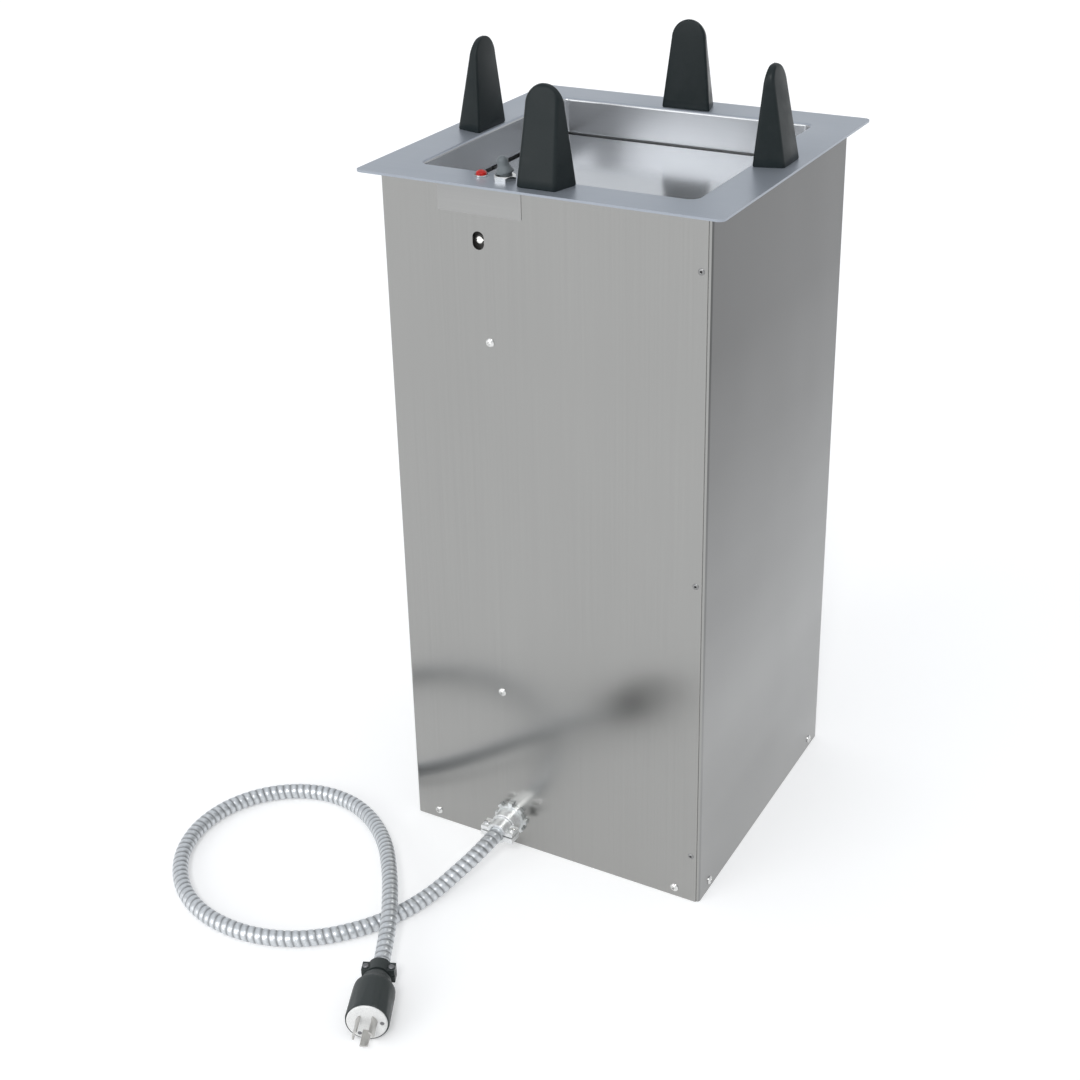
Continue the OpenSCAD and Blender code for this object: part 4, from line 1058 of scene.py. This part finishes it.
@dataclass(frozen=True)
class Studio:
    """A pale floor, a soft sky, a key light from the right and a fill from the left.

    The sky's stops are heights from the horizon, 0, to overhead, 1.
    """

    floor_size: float = 60.0
    floor_drop: float = 0.0002
    floor_colour: float = 0.80
    floor_lift: float = 0.32
    horizon: Point = (1.0, 1.0, 1.0)
    middle: Point = (0.70, 0.725, 0.755)
    zenith: Point = (0.90, 0.92, 0.95)
    sky_stops: tuple[float, float, float, float] = (0.04, 0.35, 0.65, 0.95)
    sky_light: float = 0.85
    key_from: Point = (0.30, -0.75, 0.85)
    key_angle: float = 12.0
    key_strength: float = 0.80
    fill_from: Point = (-0.40, -0.90, 0.33)
    fill_angle: float = 45.0
    fill_strength: float = 0.95

    def floor(self) -> None:
        """Adds the floor, a little brighter where it is seen or mirrored."""
        place = (0.0, 0.0, -self.floor_drop)
        bpy.ops.mesh.primitive_plane_add(size=self.floor_size, location=place)
        plane = bpy.context.object
        plane.name = "studio_floor"
        material = bpy.data.materials.new("pale_floor")
        material.use_nodes = True
        tree = material.node_tree
        tree.nodes.clear()
        out = tree.nodes.new("ShaderNodeOutputMaterial")
        matte = tree.nodes.new("ShaderNodeBsdfDiffuse")
        matte.inputs["Color"].default_value = (self.floor_colour,) * 3 + (1.0,)
        glow = tree.nodes.new("ShaderNodeEmission")
        path = tree.nodes.new("ShaderNodeLightPath")
        seen, mirrored, lift = (tree.nodes.new("ShaderNodeMath") for _ in range(3))
        both = tree.nodes.new("ShaderNodeAddShader")
        seen.operation = mirrored.operation = "MAXIMUM"
        lift.operation = "MULTIPLY"
        lift.inputs[1].default_value = self.floor_lift
        for source, target in (
            (path.outputs["Is Camera Ray"], seen.inputs[0]),
            (path.outputs["Is Glossy Ray"], seen.inputs[1]),
            (seen.outputs[0], mirrored.inputs[0]),
            (path.outputs["Is Transmission Ray"], mirrored.inputs[1]),
            (mirrored.outputs[0], lift.inputs[0]),
            (lift.outputs[0], glow.inputs["Strength"]),
            (matte.outputs[0], both.inputs[0]),
            (glow.outputs[0], both.inputs[1]),
            (both.outputs[0], out.inputs["Surface"]),
        ):
            tree.links.new(source, target)
        plane.data.materials.append(material)

    def sky(self) -> None:
        """Makes the world: white at the horizon, greyer above it, bright overhead."""
        world = bpy.data.worlds.new("studio_sky")
        bpy.context.scene.world = world
        world.use_nodes = True
        tree = world.node_tree
        back = tree.nodes["Background"]
        place = tree.nodes.new("ShaderNodeTexCoord")
        split = tree.nodes.new("ShaderNodeSeparateXYZ")
        ramp = tree.nodes.new("ShaderNodeValToRGB")
        path = tree.nodes.new("ShaderNodeLightPath")
        shown = tree.nodes.new("ShaderNodeMapRange")
        shown.inputs["To Min"].default_value = 1.0
        shown.inputs["To Max"].default_value = self.sky_light
        for source, target in (
            (place.outputs["Generated"], split.inputs[0]),
            (split.outputs["Z"], ramp.inputs[0]),
            (ramp.outputs[0], back.inputs["Color"]),
            (path.outputs["Is Diffuse Ray"], shown.inputs["Value"]),
            (shown.outputs[0], back.inputs["Strength"]),
        ):
            tree.links.new(source, target)
        low, rise, hold, high = self.sky_stops
        stops = ramp.color_ramp.elements
        stops[0].position, stops[0].color = low, (*self.horizon, 1.0)
        stops[1].position, stops[1].color = high, (*self.zenith, 1.0)
        for position in (rise, hold):
            stops.new(position).color = (*self.middle, 1.0)

    @staticmethod
    def lamp(name: str, place: Point, angle: float, strength: float) -> None:
        """Adds an even light that shines from its place to the middle.

        Args:
            name: The light's name.
            place: Where it stands.
            angle: How wide it looks, in degrees, which softens its shadows.
            strength: How strongly it shines.
        """
        bpy.ops.object.light_add(type="SUN", location=place)
        light = bpy.context.object
        light.name = name
        light.data.angle = math.radians(angle)
        light.data.energy = strength
        light.rotation_euler = (-Vector(place)).to_track_quat("-Z", "Y").to_euler()

    def build(self) -> None:
        """Builds floor, sky and light."""
        self.floor()
        self.sky()
        self.lamp("key_light", self.key_from, self.key_angle, self.key_strength)
        self.lamp("fill_light", self.fill_from, self.fill_angle, self.fill_strength)
        bpy.context.scene.view_settings.view_transform = "Standard"


# Supply: conduit, connector and plug


@dataclass(frozen=True)
class Supply:
    """The flexible metal conduit from the cabinet to its plug, with its fittings."""

    start: Point = (-44.0, -172.5, 30.0)
    plug_start: Point = (-48.6, -375.8, 18.6)
    plug_turn: float = -66.0
    plug_insert: float = 6.0
    plug_straight: float = 10.0
    route_steps: int = 8
    radius: float = 7.5
    seam_depth: float = 0.85
    ribs: int = 132
    rib_profile: tuple[tuple[float, float], ...] = (
        (0.0, 1.0), (0.07, 0.82), (0.16, 0.42), (0.30, 0.12),
        (0.50, 0.0), (0.70, 0.12), (0.84, 0.42), (0.93, 0.82),
    )
    sides: int = 28
    bend_look: float = 2.0
    merge: float = 1e-6
    smooth_degrees: float = 60.0
    length: float = 910.5
    route: tuple[Point, ...] = (
        (-44.0, -181.5, 30.0), (-44.0, -189.5, 30.0), (-45.5, -204.1, 28.5),
        (-49.8, -221.7, 24.0), (-56.5, -240.1, 18.0), (-63.5, -258.1, 12.0),
        (-71.3, -278.9, 8.8), (-79.8, -298.7, 7.6), (-91.4, -320.5, 7.6),
        (-106.4, -340.0, 7.6), (-124.6, -357.8, 7.6), (-148.1, -373.2, 7.6),
        (-176.0, -383.0, 7.6), (-205.0, -386.1, 7.6), (-235.2, -382.6, 7.6),
        (-264.6, -371.4, 7.6), (-291.0, -351.6, 7.6), (-311.4, -324.5, 7.6),
        (-322.4, -293.4, 7.6), (-323.1, -262.7, 7.6), (-314.4, -233.6, 7.6),
        (-296.4, -208.2, 7.6), (-270.9, -189.7, 7.6), (-242.0, -181.2, 7.8),
        (-211.9, -183.5, 8.6), (-183.7, -195.5, 10.6), (-158.5, -213.9, 14.0),
        (-136.3, -235.4, 18.0), (-117.1, -258.9, 21.5), (-99.9, -282.4, 24.0),
        (-85.9, -303.8, 24.8), (-73.4, -324.1, 23.6), (-63.0, -344.4, 21.0),
    )
    fittings: tuple[Dressing, ...] = (
        Dressing("plug_body", PLUG_BLACK, 0.5),
        Dressing("plug_face", PLUG_WHITE, 0.25),
        Dressing("plug_blades", BLADE_METAL, 0.2),
        Dressing("plug_clamp", PLUG_BLACK, 0.4),
        Dressing("plug_screws", DARK_SCREW, 0.1),
        Dressing("connector_body", CAST_ZINC, 0.3),
        Dressing("connector_clamp", CAST_ZINC, 0.3),
        Dressing("connector_screws", BRIGHT, 0.1),
        Dressing("connector_locknuts", ZINC, 0.25),
    )

    def points(self) -> np.ndarray:
        """Adds the straight end inside the plug to the route's chosen points.

        Returns:
            The points in order, in millimetres.
        """
        a = math.radians(self.plug_turn)
        along = np.array((math.cos(a), math.sin(a), 0.0))
        seat_at = np.array(self.plug_start)
        ends = [seat_at - self.plug_straight * along, seat_at + self.plug_insert * along]
        return np.array([self.start, *self.route, *ends])

    def line(self) -> np.ndarray:
        """Draws a smooth line through the route's points, as the part's source does.

        Returns:
            The line's points in order, in millimetres.
        """
        p = self.points()
        slope = np.empty_like(p)
        slope[0], slope[-1] = p[1] - p[0], p[-1] - p[-2]
        slope[1:-1] = (p[2:] - p[:-2]) / 2
        made = []
        for i in range(len(p) - 1):
            for k in range(self.route_steps):
                t = k / self.route_steps
                made.append(
                    (2 * t**3 - 3 * t**2 + 1) * p[i]
                    + (t**3 - 2 * t**2 + t) * slope[i]
                    + (3 * t**2 - 2 * t**3) * p[i + 1]
                    + (t**3 - t**2) * slope[i + 1]
                )
        return np.array([*made, p[-1]])

    def winding(self) -> tuple[np.ndarray, np.ndarray]:
        """Winds the ribs round the line as a thread, each ring once round at the same pitch.

        Returns:
            The points in rings, in millimetres, and how deep each one lies in a seam, 0 to 1.
        """
        line = self.line()
        run = np.concatenate(([0.0], np.cumsum(np.linalg.norm(np.diff(line, axis=0), axis=1))))
        total = run[-1]
        LOG.info("conduit length %.1f mm", total)

        def at(way: np.ndarray) -> np.ndarray:
            """The points of the line at these ways along it."""
            return np.stack([np.interp(way, run, line[:, a]) for a in range(3)], axis=-1)

        offsets, depths = zip(*self.rib_profile)
        per = len(offsets)
        rings = (self.ribs + 1) * per
        first = np.array([i // per - 1 + offsets[i % per] for i in range(rings)])
        share = np.arange(self.sides) / self.sides
        way = np.clip((first[:, None] + share) * (total / self.ribs), 0.0, total)
        deep = np.repeat([depths[i % per] for i in range(rings)], self.sides)
        deep = deep.reshape(rings, self.sides)
        ahead = np.minimum(way + self.bend_look, total)
        behind = np.maximum(way - self.bend_look, 0.0)
        along = at(ahead) - at(behind)
        along /= np.linalg.norm(along, axis=-1, keepdims=True)
        side = np.cross(np.array((0.0, 0.0, 1.0)), along)
        side /= np.linalg.norm(side, axis=-1, keepdims=True)
        over = np.cross(along, side)
        turn = np.linspace(0.0, math.tau, self.sides, endpoint=False)[None, :, None]
        reach = (self.radius - self.seam_depth * deep)[..., None]
        return at(way) + reach * (np.cos(turn) * side + np.sin(turn) * over), deep

    def faces(self, rings: int) -> list[tuple[int, ...]]:
        """Joins the winding's points; a ring's last point meets the ring one rib further.

        Args:
            rings: How many rings of points there are.

        Returns:
            The faces, by their points' numbers.
        """
        sides, per = self.sides, len(self.rib_profile)
        made = []
        for i in range(rings - 1):
            for k in range(sides):
                a, c = i * sides + k, (i + 1) * sides + k
                if k + 1 < sides:
                    made.append((a, a + 1, c + 1, c))
                elif i + 1 + per < rings:
                    made.append((a, (i + per) * sides, (i + 1 + per) * sides, c))
        return made

    def conduit(self) -> bpy.types.Object:
        """Makes the wound strip and closes its ends.

        Returns:
            The conduit, in the place of its CAD node.
        """
        skin, deep = self.winding()
        mesh = bpy.data.meshes.new("conduit_ribbed")
        mesh.from_pydata((skin.reshape(-1, 3) * MM).tolist(), [], self.faces(len(skin)))
        seam = mesh.attributes.new("seam", "FLOAT", "POINT")
        seam.data.foreach_set("value", deep.astype(np.float32).ravel())
        obj = bpy.data.objects.new("conduit_ribbed", mesh)
        bpy.context.collection.objects.link(obj)
        with EditMode(obj):
            bpy.ops.mesh.select_all(action="SELECT")
            bpy.ops.mesh.remove_doubles(threshold=self.merge)
            bpy.ops.mesh.select_all(action="DESELECT")
            bpy.ops.mesh.select_non_manifold()
            bpy.ops.mesh.edge_face_add()
        outward(obj, self.merge)
        smooth(obj, self.smooth_degrees)
        paint(obj, CONDUIT_STEEL)
        return seat(obj, "cabinet", "conduit")

    def build(self, frame: dict) -> None:
        """Args:
            frame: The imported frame.
        """
        conduit = self.conduit()
        [tuple(p * MM) for p in self.line()]
        [piece.build(frame) for piece in self.fittings]


# Plate guides


@dataclass(frozen=True)
class PlateGuides:
    """Four moulded guides round the well, each lofted through rising outlines."""

    well: float = 254.0
    setback: float = 4.0
    height: float = 82.0
    width: float = 49.5
    depth: float = 26.5
    top_depth: float = 5.5
    lean_in: float = 5.5
    top_r: float = 17.5
    crown_share: float = 0.58
    lip_share: float = 0.33
    side_angle: float = 15.0
    foot_z: float = 661.0
    foot_inset: float = 0.6
    foot_rise: float = 1.2
    corner: float = 3.0
    corner_share: float = 0.4
    corner_steps: tuple[float, ...] = (0.0, 0.2, 0.4, 0.6, 0.8, 1.0)
    foot_step: float = 0.4
    side_parts: int = 8
    arc_degrees: range = range(0, 85, 6)
    top_gap: float = 0.04
    smooth_degrees: float = 50.0

    def half_width(self, z: float) -> float:
        """Finds how wide the well's side is at a height.

        Args:
            z: The height above the guide's foot.

        Returns:
            Half the width.
        """
        centre = self.height - self.top_r
        if z < centre:
            return self.width / 2 + (self.top_r - self.width / 2) * z / centre
        return math.sqrt(max(0.0, self.top_r**2 - (z - centre) ** 2))

    @staticmethod
    def drop(r: float, z: float) -> float:
        """How far an arc of radius r falls back at the height z."""
        return r - math.sqrt(max(0.0, r * r - z * z))

    def outline(self, z: float) -> list[Vector]:
        """Draws the plan at a height: a trapezoid with round corners, local +X from the well.

        Args:
            z: The height above the guide's foot.

        Returns:
            The outline's points in order.
        """
        crown, lip = self.crown_share * self.top_depth, self.lip_share * self.top_depth
        lean_out = self.depth - self.top_depth - self.lean_in
        foot = self.foot_inset * max(0.0, 1 - z / self.foot_rise)
        inner = self.lean_in * z / self.height + self.drop(lip, max(0.0, z - self.height + lip))
        inner += foot
        outer = self.depth - lean_out * z / self.height
        outer -= self.drop(crown, max(0.0, z - self.height + crown))
        outer -= foot
        a = self.half_width(z) - foot
        b = max(a / 3, a - (outer - inner) * math.tan(math.radians(self.side_angle)))
        c = min(self.corner, self.corner_share * b, self.corner_share * (outer - inner))
        ring = [(inner, -a), (outer, -b), (outer, b), (inner, a)]
        made = []
        for i, v in enumerate(ring):
            v0, p, n = Vector(v), Vector(ring[i - 1]), Vector(ring[(i + 1) % 4])
            e, g = (p - v0).normalized(), (n - v0).normalized()
            for t in self.corner_steps:
                q = (1 - t) ** 2 * (v0 + c * e) + 2 * t * (1 - t) * v0 + t**2 * (v0 + c * g)
                made.append(Vector((q.x, q.y, z)))
        return made

    def levels(self) -> list[float]:
        """Chooses the heights of the outlines, close together where the top curves.

        Returns:
            The heights above the guide's foot, rising.
        """
        centre = self.height - self.top_r
        low = [0.0, self.foot_step, self.foot_rise]
        low += [centre * k / self.side_parts for k in range(1, self.side_parts)]
        arc = [centre + self.top_r * math.sin(math.radians(a)) for a in self.arc_degrees]
        return low + arc + [self.height - self.top_gap]

    def build(self) -> None:
        """Lofts one guide and copies it round the well."""
        pattern = loft("guide_pattern", [self.outline(z) for z in self.levels()])
        out = Matrix.Translation((self.well / 2 + self.setback, 0.0, self.foot_z))
        for k, side in enumerate(("right", "back", "left", "front")):
            guide = copy_piece(pattern, f"guide_{side}_moulded")
            settle(guide, Matrix.Rotation(math.radians(90 * k), 4, "Z") @ out)
            smooth(guide, self.smooth_degrees)
            paint(guide, GUIDE_PLASTIC)
            seat(guide, "cabinet", f"guide_{side}")
        bpy.data.objects.remove(pattern)


# Cabinet, flange and fasteners


@dataclass(frozen=True)
class Fasteners:
    """Cross-head screws and blind rivets, and where they sit."""

    head_r: float = 4.0
    head_h: float = 2.2
    dome_share: float = 1.5
    dome_from: float = 0.4
    dome_parts: int = 6
    rim_share: float = 0.25
    rim_soft: float = 0.12
    recess_r: float = 2.3
    recess_w: float = 0.9
    recess_d: float = 1.3
    recess_taper: Point = (0.55, 0.8, 1.0)
    shank_r: float = 2.0
    tip_in: float = 0.4
    tip_up: float = 0.6
    shank: float = 8.0
    long_shank: float = 15.0
    rivet_r: float = 2.8
    rivet_h: float = 0.9
    stem_r: float = 1.12
    wall_out: float = 152.5
    flange_z: float = 659.0
    base_z: float = 9.0
    base_across: float = 128.0
    front_across: float = -50.0
    front_drops: tuple[float, ...] = (139.6, 489.5)
    guide_out: float = 138.5
    guide_across: float = 12.0
    rivet_inset: float = 8.5
    rivet_drops: tuple[float, ...] = (47.3, 327.5, 608.9)
    smooth_degrees: float = 35.0

    def screw(self, shank: float) -> bpy.types.Object:
        """Turns a pan-head screw along -Z and cuts its cross recess.

        Args:
            shank: How far the shank reaches below the head.

        Returns:
            The screw in millimetres, with the seat of its head at the origin.
        """
        dome = self.dome_share * self.head_r
        profile = [
            (0.0, -shank),
            (self.shank_r - self.tip_in, -shank),
            (self.shank_r, -shank + self.tip_up),
            (self.shank_r, 0.0),
            (self.head_r, 0.0),
            (self.head_r, self.rim_share * self.head_h),
        ]
        for k in range(self.dome_parts + 1):
            z = self.head_h * (self.dome_from + (1 - self.dome_from) * k / self.dome_parts)
            r = math.sqrt(max(0.0, dome**2 - (z - self.head_h + dome) ** 2))
            profile.append((min(self.head_r - self.rim_soft, r), z))
        profile[-1] = (0.0, self.head_h)
        obj = spin_profile("screw_pattern", profile)
        for turn in (0.0, math.pi / 2):
            bpy.ops.mesh.primitive_cube_add(size=1.0)
            cutter = bpy.context.object
            cutter.data.transform(
                Matrix.Rotation(turn, 4, "Z")
                @ Matrix.Translation((0.0, 0.0, self.head_h))
                @ Matrix.Diagonal((2 * self.recess_r, self.recess_w, 2 * self.recess_d, 1.0))
            )
            with EditMode(cutter) as edit:
                edit.pick(lambda face: face.normal.z < -0.5)
                bpy.ops.transform.resize(value=self.recess_taper)
            apply_modifier(obj, "BOOLEAN", operation="DIFFERENCE", object=cutter, solver="EXACT")
            bpy.data.objects.remove(cutter)
        return obj

    def rivet(self) -> bpy.types.Object:
        """Turns a blind rivet: a domed rim with the broken stem sunk in its middle.

        Returns:
            The rivet in millimetres, with the seat of its rim at the origin.
        """
        r, h = self.rivet_r, self.rivet_h
        shank = [(0.0, -3.4), (1.5, -3.4), (1.6, -3.0), (1.6, 0.0)]
        rim = [(r, 0.0), (r, 0.25), (r - 0.35, 0.62), (r - 0.9, h), (1.25, h), (1.05, h - 0.15)]
        stem = [(0.95, 0.15), (0.75, 0.1), (0.6, 0.25), (0.0, 0.3)]
        obj = spin_profile("rivet_pattern", shank + rim + stem)
        obj.data.materials.append(DARK_RIVET.build())
        # Painted shade: the sunken stem and the hole round it get the near-black metal.
        obj.data.materials.append(RIVET_HOLLOW_SHADE.build())
        for face in obj.data.polygons:
            if face.center.z > 0.0 and math.hypot(face.center.x, face.center.y) < self.stem_r:
                face.material_index = 1
        return obj

    def build(self) -> None:
        """Places every screw and rivet where the CAD node has it."""
        out, top = self.wall_out, self.flange_z
        sides = (-1, 1)
        base = [
            wall.frame(s * self.base_across, self.base_z, out) for wall in Wall for s in sides
        ]
        front = [Wall.FRONT.frame(self.front_across, top - d, out) for d in self.front_drops]
        under = [
            Matrix.Rotation(math.radians(90 * k), 4, "Z")
            @ Matrix.Translation((self.guide_out, s * self.guide_across, top))
            @ Matrix.Rotation(math.pi, 4, "X")
            for k in range(4)
            for s in sides
        ]
        for name, places, shank in (
            ("base_screws", base, self.shank),
            ("front_screws", front, self.shank),
            ("guide_screws", under, self.long_shank),
        ):
            made = array_of(self.screw(shank), places, f"{name}_cross_head")
            smooth(made, self.smooth_degrees)
            paint(made, BRIGHT)
            seat(made, "cabinet", name)
        edge = out - self.rivet_inset
        spots = [
            wall.frame(across, top - d, out)
            for wall, across in ((Wall.FRONT, edge), (Wall.BACK, -edge))
            for d in self.rivet_drops
        ]
        rivets = array_of(self.rivet(), spots, "seam_rivets_blind")
        smooth(rivets, self.smooth_degrees)
        seat(rivets, "cabinet", "seam_rivets")


@dataclass(frozen=True)
class SheetWork(DressedNodes):
    """The outer sheet pieces; two of them carry painted light and shade as two copies of one
    steel on different faces.
    """

    pieces: tuple[Dressing, ...] = (
        Dressing("top_flange", FLANGE_STEEL, 0.35),
        Dressing("cabinet_wrap", CABINET_STEEL),
        Dressing("side_panel", SHADED_SIDE_STEEL),
        Dressing("bottom_pan", INNER_STEEL),
        Dressing("label_plate", LABEL_BLANK, 0.12),
    )
    collar_reach: float = 140.0
    upright: float = 0.6
    faces_right: float = 0.7

    def build(self, frame: dict) -> None:
        """Dresses the flange, the walls, the pan and the label plate.

        Args:
            frame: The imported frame.
        """
        for piece in self.pieces:
            made = piece.build(frame)
            # Painted shade: the side panel's right-facing faces keep the darker side steel; faces
            # to the front and back get the cabinet steel.
            if piece.node == "side_panel":
                self.painted_light_faces(made, CABINET_STEEL, self.on_bends)
            # Painted light: the upright collar faces get the lighter collar steel.
            elif piece.node == "top_flange":
                self.painted_light_faces(made, COLLAR_STEEL_PAINTED_LIGHT, self.in_collar)

    def on_bends(self, face: bpy.types.MeshPolygon) -> bool:
        """Whether a face of the side panel looks to the front or the back."""
        return abs(face.normal.x) < self.faces_right

    def in_collar(self, face: bpy.types.MeshPolygon) -> bool:
        """Whether a face of the flange stands upright round the well."""
        reach = max(abs(face.center.x), abs(face.center.y))
        return abs(face.normal.z) < self.upright and reach < self.collar_reach * MM

    @staticmethod
    def painted_light_faces(
        piece: bpy.types.Object, finish: Finish, test: Callable[[bpy.types.MeshPolygon], bool]
    ) -> None:
        """Gives some faces of a piece another copy of its steel, which paints in light or shade.

        Args:
            piece: The piece.
            finish: The second, lighter or darker copy of the steel.
            test: Says whether a face gets it.
        """
        piece.data.materials.append(finish.build())
        for face in piece.data.polygons:
            if test(face):
                face.material_index = 1


# Well, carriage and springs


@dataclass(frozen=True)
class Carriage(DressedNodes):
    """The sprung platform with its bars, plates and rollers."""

    pieces: tuple[Dressing, ...] = (
        Dressing("platform", PLATFORM_STEEL_PAINTED_LIGHT, 0.0, "carriage"),
        Dressing("carriage_frame", ZINC, 0.2, "carriage"),
        Dressing("roller_plate_left", ZINC, 0.25, "carriage"),
        Dressing("roller_plate_right", ZINC, 0.25, "carriage"),
        Dressing("roller_axles", BRIGHT, 0.15, "carriage"),
        Dressing("roller_left_upper", ROLLER_PLASTIC, 0.15, "roller_left_upper_body"),
        Dressing("roller_left_lower", ROLLER_PLASTIC, 0.15, "roller_left_lower_body"),
        Dressing("roller_right_upper", ROLLER_PLASTIC, 0.15, "roller_right_upper_body"),
        Dressing("roller_right_lower", ROLLER_PLASTIC, 0.15, "roller_right_lower_body"),
    )


@dataclass(frozen=True)
class LiftingSprings:
    """Close-wound pull springs between the hangers and the roller plates."""

    outer_r: float = 5.0
    wire: float = 1.4
    body: float = 110.0
    neck: float = 1.0
    neck_rise: float = 2.6
    neck_turn: float = 1.5
    hook_r: float = 2.5
    hook_tip: float = 0.5
    x: float = 143.0
    ys: tuple[float, float] = (20.0, 34.0)
    middle_z: float = 566.9
    hanger_top: float = 641.5
    plate_low: float = 491.8
    stretch_inset: float = 3.0
    turns: int = 76
    steps: int = 14
    hook_steps: int = 8
    sides: int = 7
    merge: float = 1e-7
    smooth_degrees: float = 60.0

    def half_line(self, sheet: float) -> list[Vector]:
        """Draws the wire from the middle of the winding up to the hook's tip.

        Args:
            sheet: Height of the sheet that the hook hangs in, above the middle.

        Returns:
            The wire's points in order, about the origin.
        """
        top = self.body / 2
        mean = self.outer_r - self.wire / 2
        count = int(self.turns / 2 * self.steps)
        made = []
        for i in range(count + 1):
            a = math.tau * i / self.steps
            height = (top - self.neck) * i / count
            made.append(Vector((mean * math.cos(a), mean * math.sin(a), height)))
        end = made[-1]
        turn = math.atan2(end.y, end.x)
        for k in range(1, self.hook_steps + 1):
            t = k / self.hook_steps
            r, a = mean * (1 - t), turn + self.neck_turn * t
            height = top - self.neck + self.neck_rise * t
            made.append(Vector((r * math.cos(a), r * math.sin(a), height)))
        bend_z = sheet + 2 * self.wire
        made.append(Vector((0.0, 0.0, (top + self.hook_r + bend_z) / 2)))
        for k in range(self.hook_steps + 1):
            a = math.pi * k / self.hook_steps
            across = -self.hook_r + self.hook_r * math.cos(a)
            made.append(Vector((across, 0.0, bend_z + self.hook_r * math.sin(a))))
        made.append(Vector((-2 * self.hook_r, 0.0, sheet + self.hook_tip)))
        return made

    def sweep(self, line: Sequence[Vector]) -> tuple[list[Vector], list[tuple[int, ...]]]:
        """Sweeps a round wire along a line.

        Args:
            line: The wire's middle line.

        Returns:
            The wire's points, and its faces by their points' numbers.
        """
        points: list[Vector] = []
        side = None
        for i, p in enumerate(line):
            along = (line[min(i + 1, len(line) - 1)] - line[max(i - 1, 0)]).normalized()
            if side is None:
                side = along.orthogonal().normalized()
            side = (side - along * side.dot(along)).normalized()
            over = along.cross(side)
            for k in range(self.sides):
                a = math.tau * k / self.sides
                points.append(p + (self.wire / 2) * (math.cos(a) * side + math.sin(a) * over))
        n = self.sides
        faces: list[tuple[int, ...]] = []
        for i in range(len(line) - 1):
            for k in range(n):
                a, b = i * n + k, i * n + (k + 1) % n
                faces.append((a, b, b + n, a + n))
        last = (len(line) - 1) * n
        faces.append(tuple(reversed(range(n))))
        faces.append(tuple(range(last, last + n)))
        return points, faces

    def build(self) -> None:
        """Winds one spring and copies it to its eight places."""
        up = self.half_line(self.hanger_top - self.middle_z)
        low = self.half_line(self.middle_z - self.plate_low)
        down = [Vector((p.x, -p.y, -p.z)) for p in low]
        points, faces = self.sweep([*reversed(down), *up[1:]])
        mesh = bpy.data.meshes.new("spring_pattern")
        mesh.from_pydata(points, [], faces)
        for side, turn in (("right", 0.0), ("left", math.pi)):
            pattern = bpy.data.objects.new("spring_pattern", mesh.copy())
            bpy.context.collection.objects.link(pattern)
            places = [
                Matrix.Rotation(turn, 4, "Z") @ Matrix.Translation((self.x, s * y, self.middle_z))
                for y in self.ys
                for s in (-1, 1)
            ]
            springs = array_of(pattern, places, f"springs_{side}_wound")
            outward(springs, self.merge)
            smooth(springs, self.smooth_degrees)
            paint(springs, SPRING_STEEL)
            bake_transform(springs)
            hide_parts(f"springs_{side}")
            LOG.info("%s stretches between cabinet and carriage", springs.name)
        bpy.data.meshes.remove(mesh)


@dataclass(frozen=True)
class Controls(DressedNodes):
    """Pilot lamp, switch and thermostat."""

    pieces: tuple[Dressing, ...] = (
        Dressing("pilot_body", BRIGHT, 0.2),
        Dressing("pilot_lens", LENS_RED, 0.25),
        Dressing("switch_body", BLACK_PLASTIC, 0.3),
        Dressing("switch_nut", BRIGHT, 0.25),
        Dressing("switch_lever", BRIGHT, 0.0, "switch_toggle"),
        Dressing("switch_boot", BOOT_RUBBER, 0.0, "switch_toggle"),
        # Painted shade: near-black behind the thermostat's slot.
        Dressing("thermostat_body", CONTROL_PAINTED_SHADE, 0.5),
        Dressing("thermostat_bracket", ZINC, 0.2),
        Dressing("thermostat_spindle", SPINDLE_BRASS, 0.2, "thermostat_dial"),
        Dressing("capillary_bulb", COPPER),
    )


@dataclass(frozen=True)
class Inside(DressedNodes):
    """Liner, rails, heater and wiring inside the cabinet."""

    pieces: tuple[Dressing, ...] = (
        Dressing("liner_front", INNER_STEEL),
        Dressing("liner_back", INNER_STEEL),
        Dressing("liner_left", INNER_STEEL),
        Dressing("liner_right", INNER_STEEL),
        Dressing("heat_floor", INNER_STEEL),
        Dressing("floor_stands", ZINC, 0.3),
        Dressing("rail_left", INNER_STEEL, 0.15),
        Dressing("rail_right", INNER_STEEL, 0.15),
        Dressing("spring_hangers", ZINC, 0.2),
        Dressing("stop_bumpers", BUMPER_RUBBER, 0.4),
        Dressing("heater_element", HEATER_SHEATH),
        Dressing("heater_brackets", INNER_STEEL, 0.15),
        Dressing("wire_channel", INNER_STEEL, 0.1),
        Dressing("wiring", WIRE_COVER),
        Dressing("terminal_block", CONTROL_PLASTIC, 0.4),
    )


def main() -> None:
    """Builds the whole scene in order."""
    logging.basicConfig(level=logging.INFO, format="%(message)s")
    for obj in list(bpy.data.objects):
        bpy.data.objects.remove(obj)
    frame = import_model()
    PhotoCamera().build()
    Studio().build()
    Supply().build(frame)
    PlateGuides().build()
    SheetWork().build(frame)
    Fasteners().build()
    Controls().build(frame)
    Carriage().build(frame)
    LiftingSprings().build()
    Inside().build(frame)


if __name__ == "__main__":
    main()
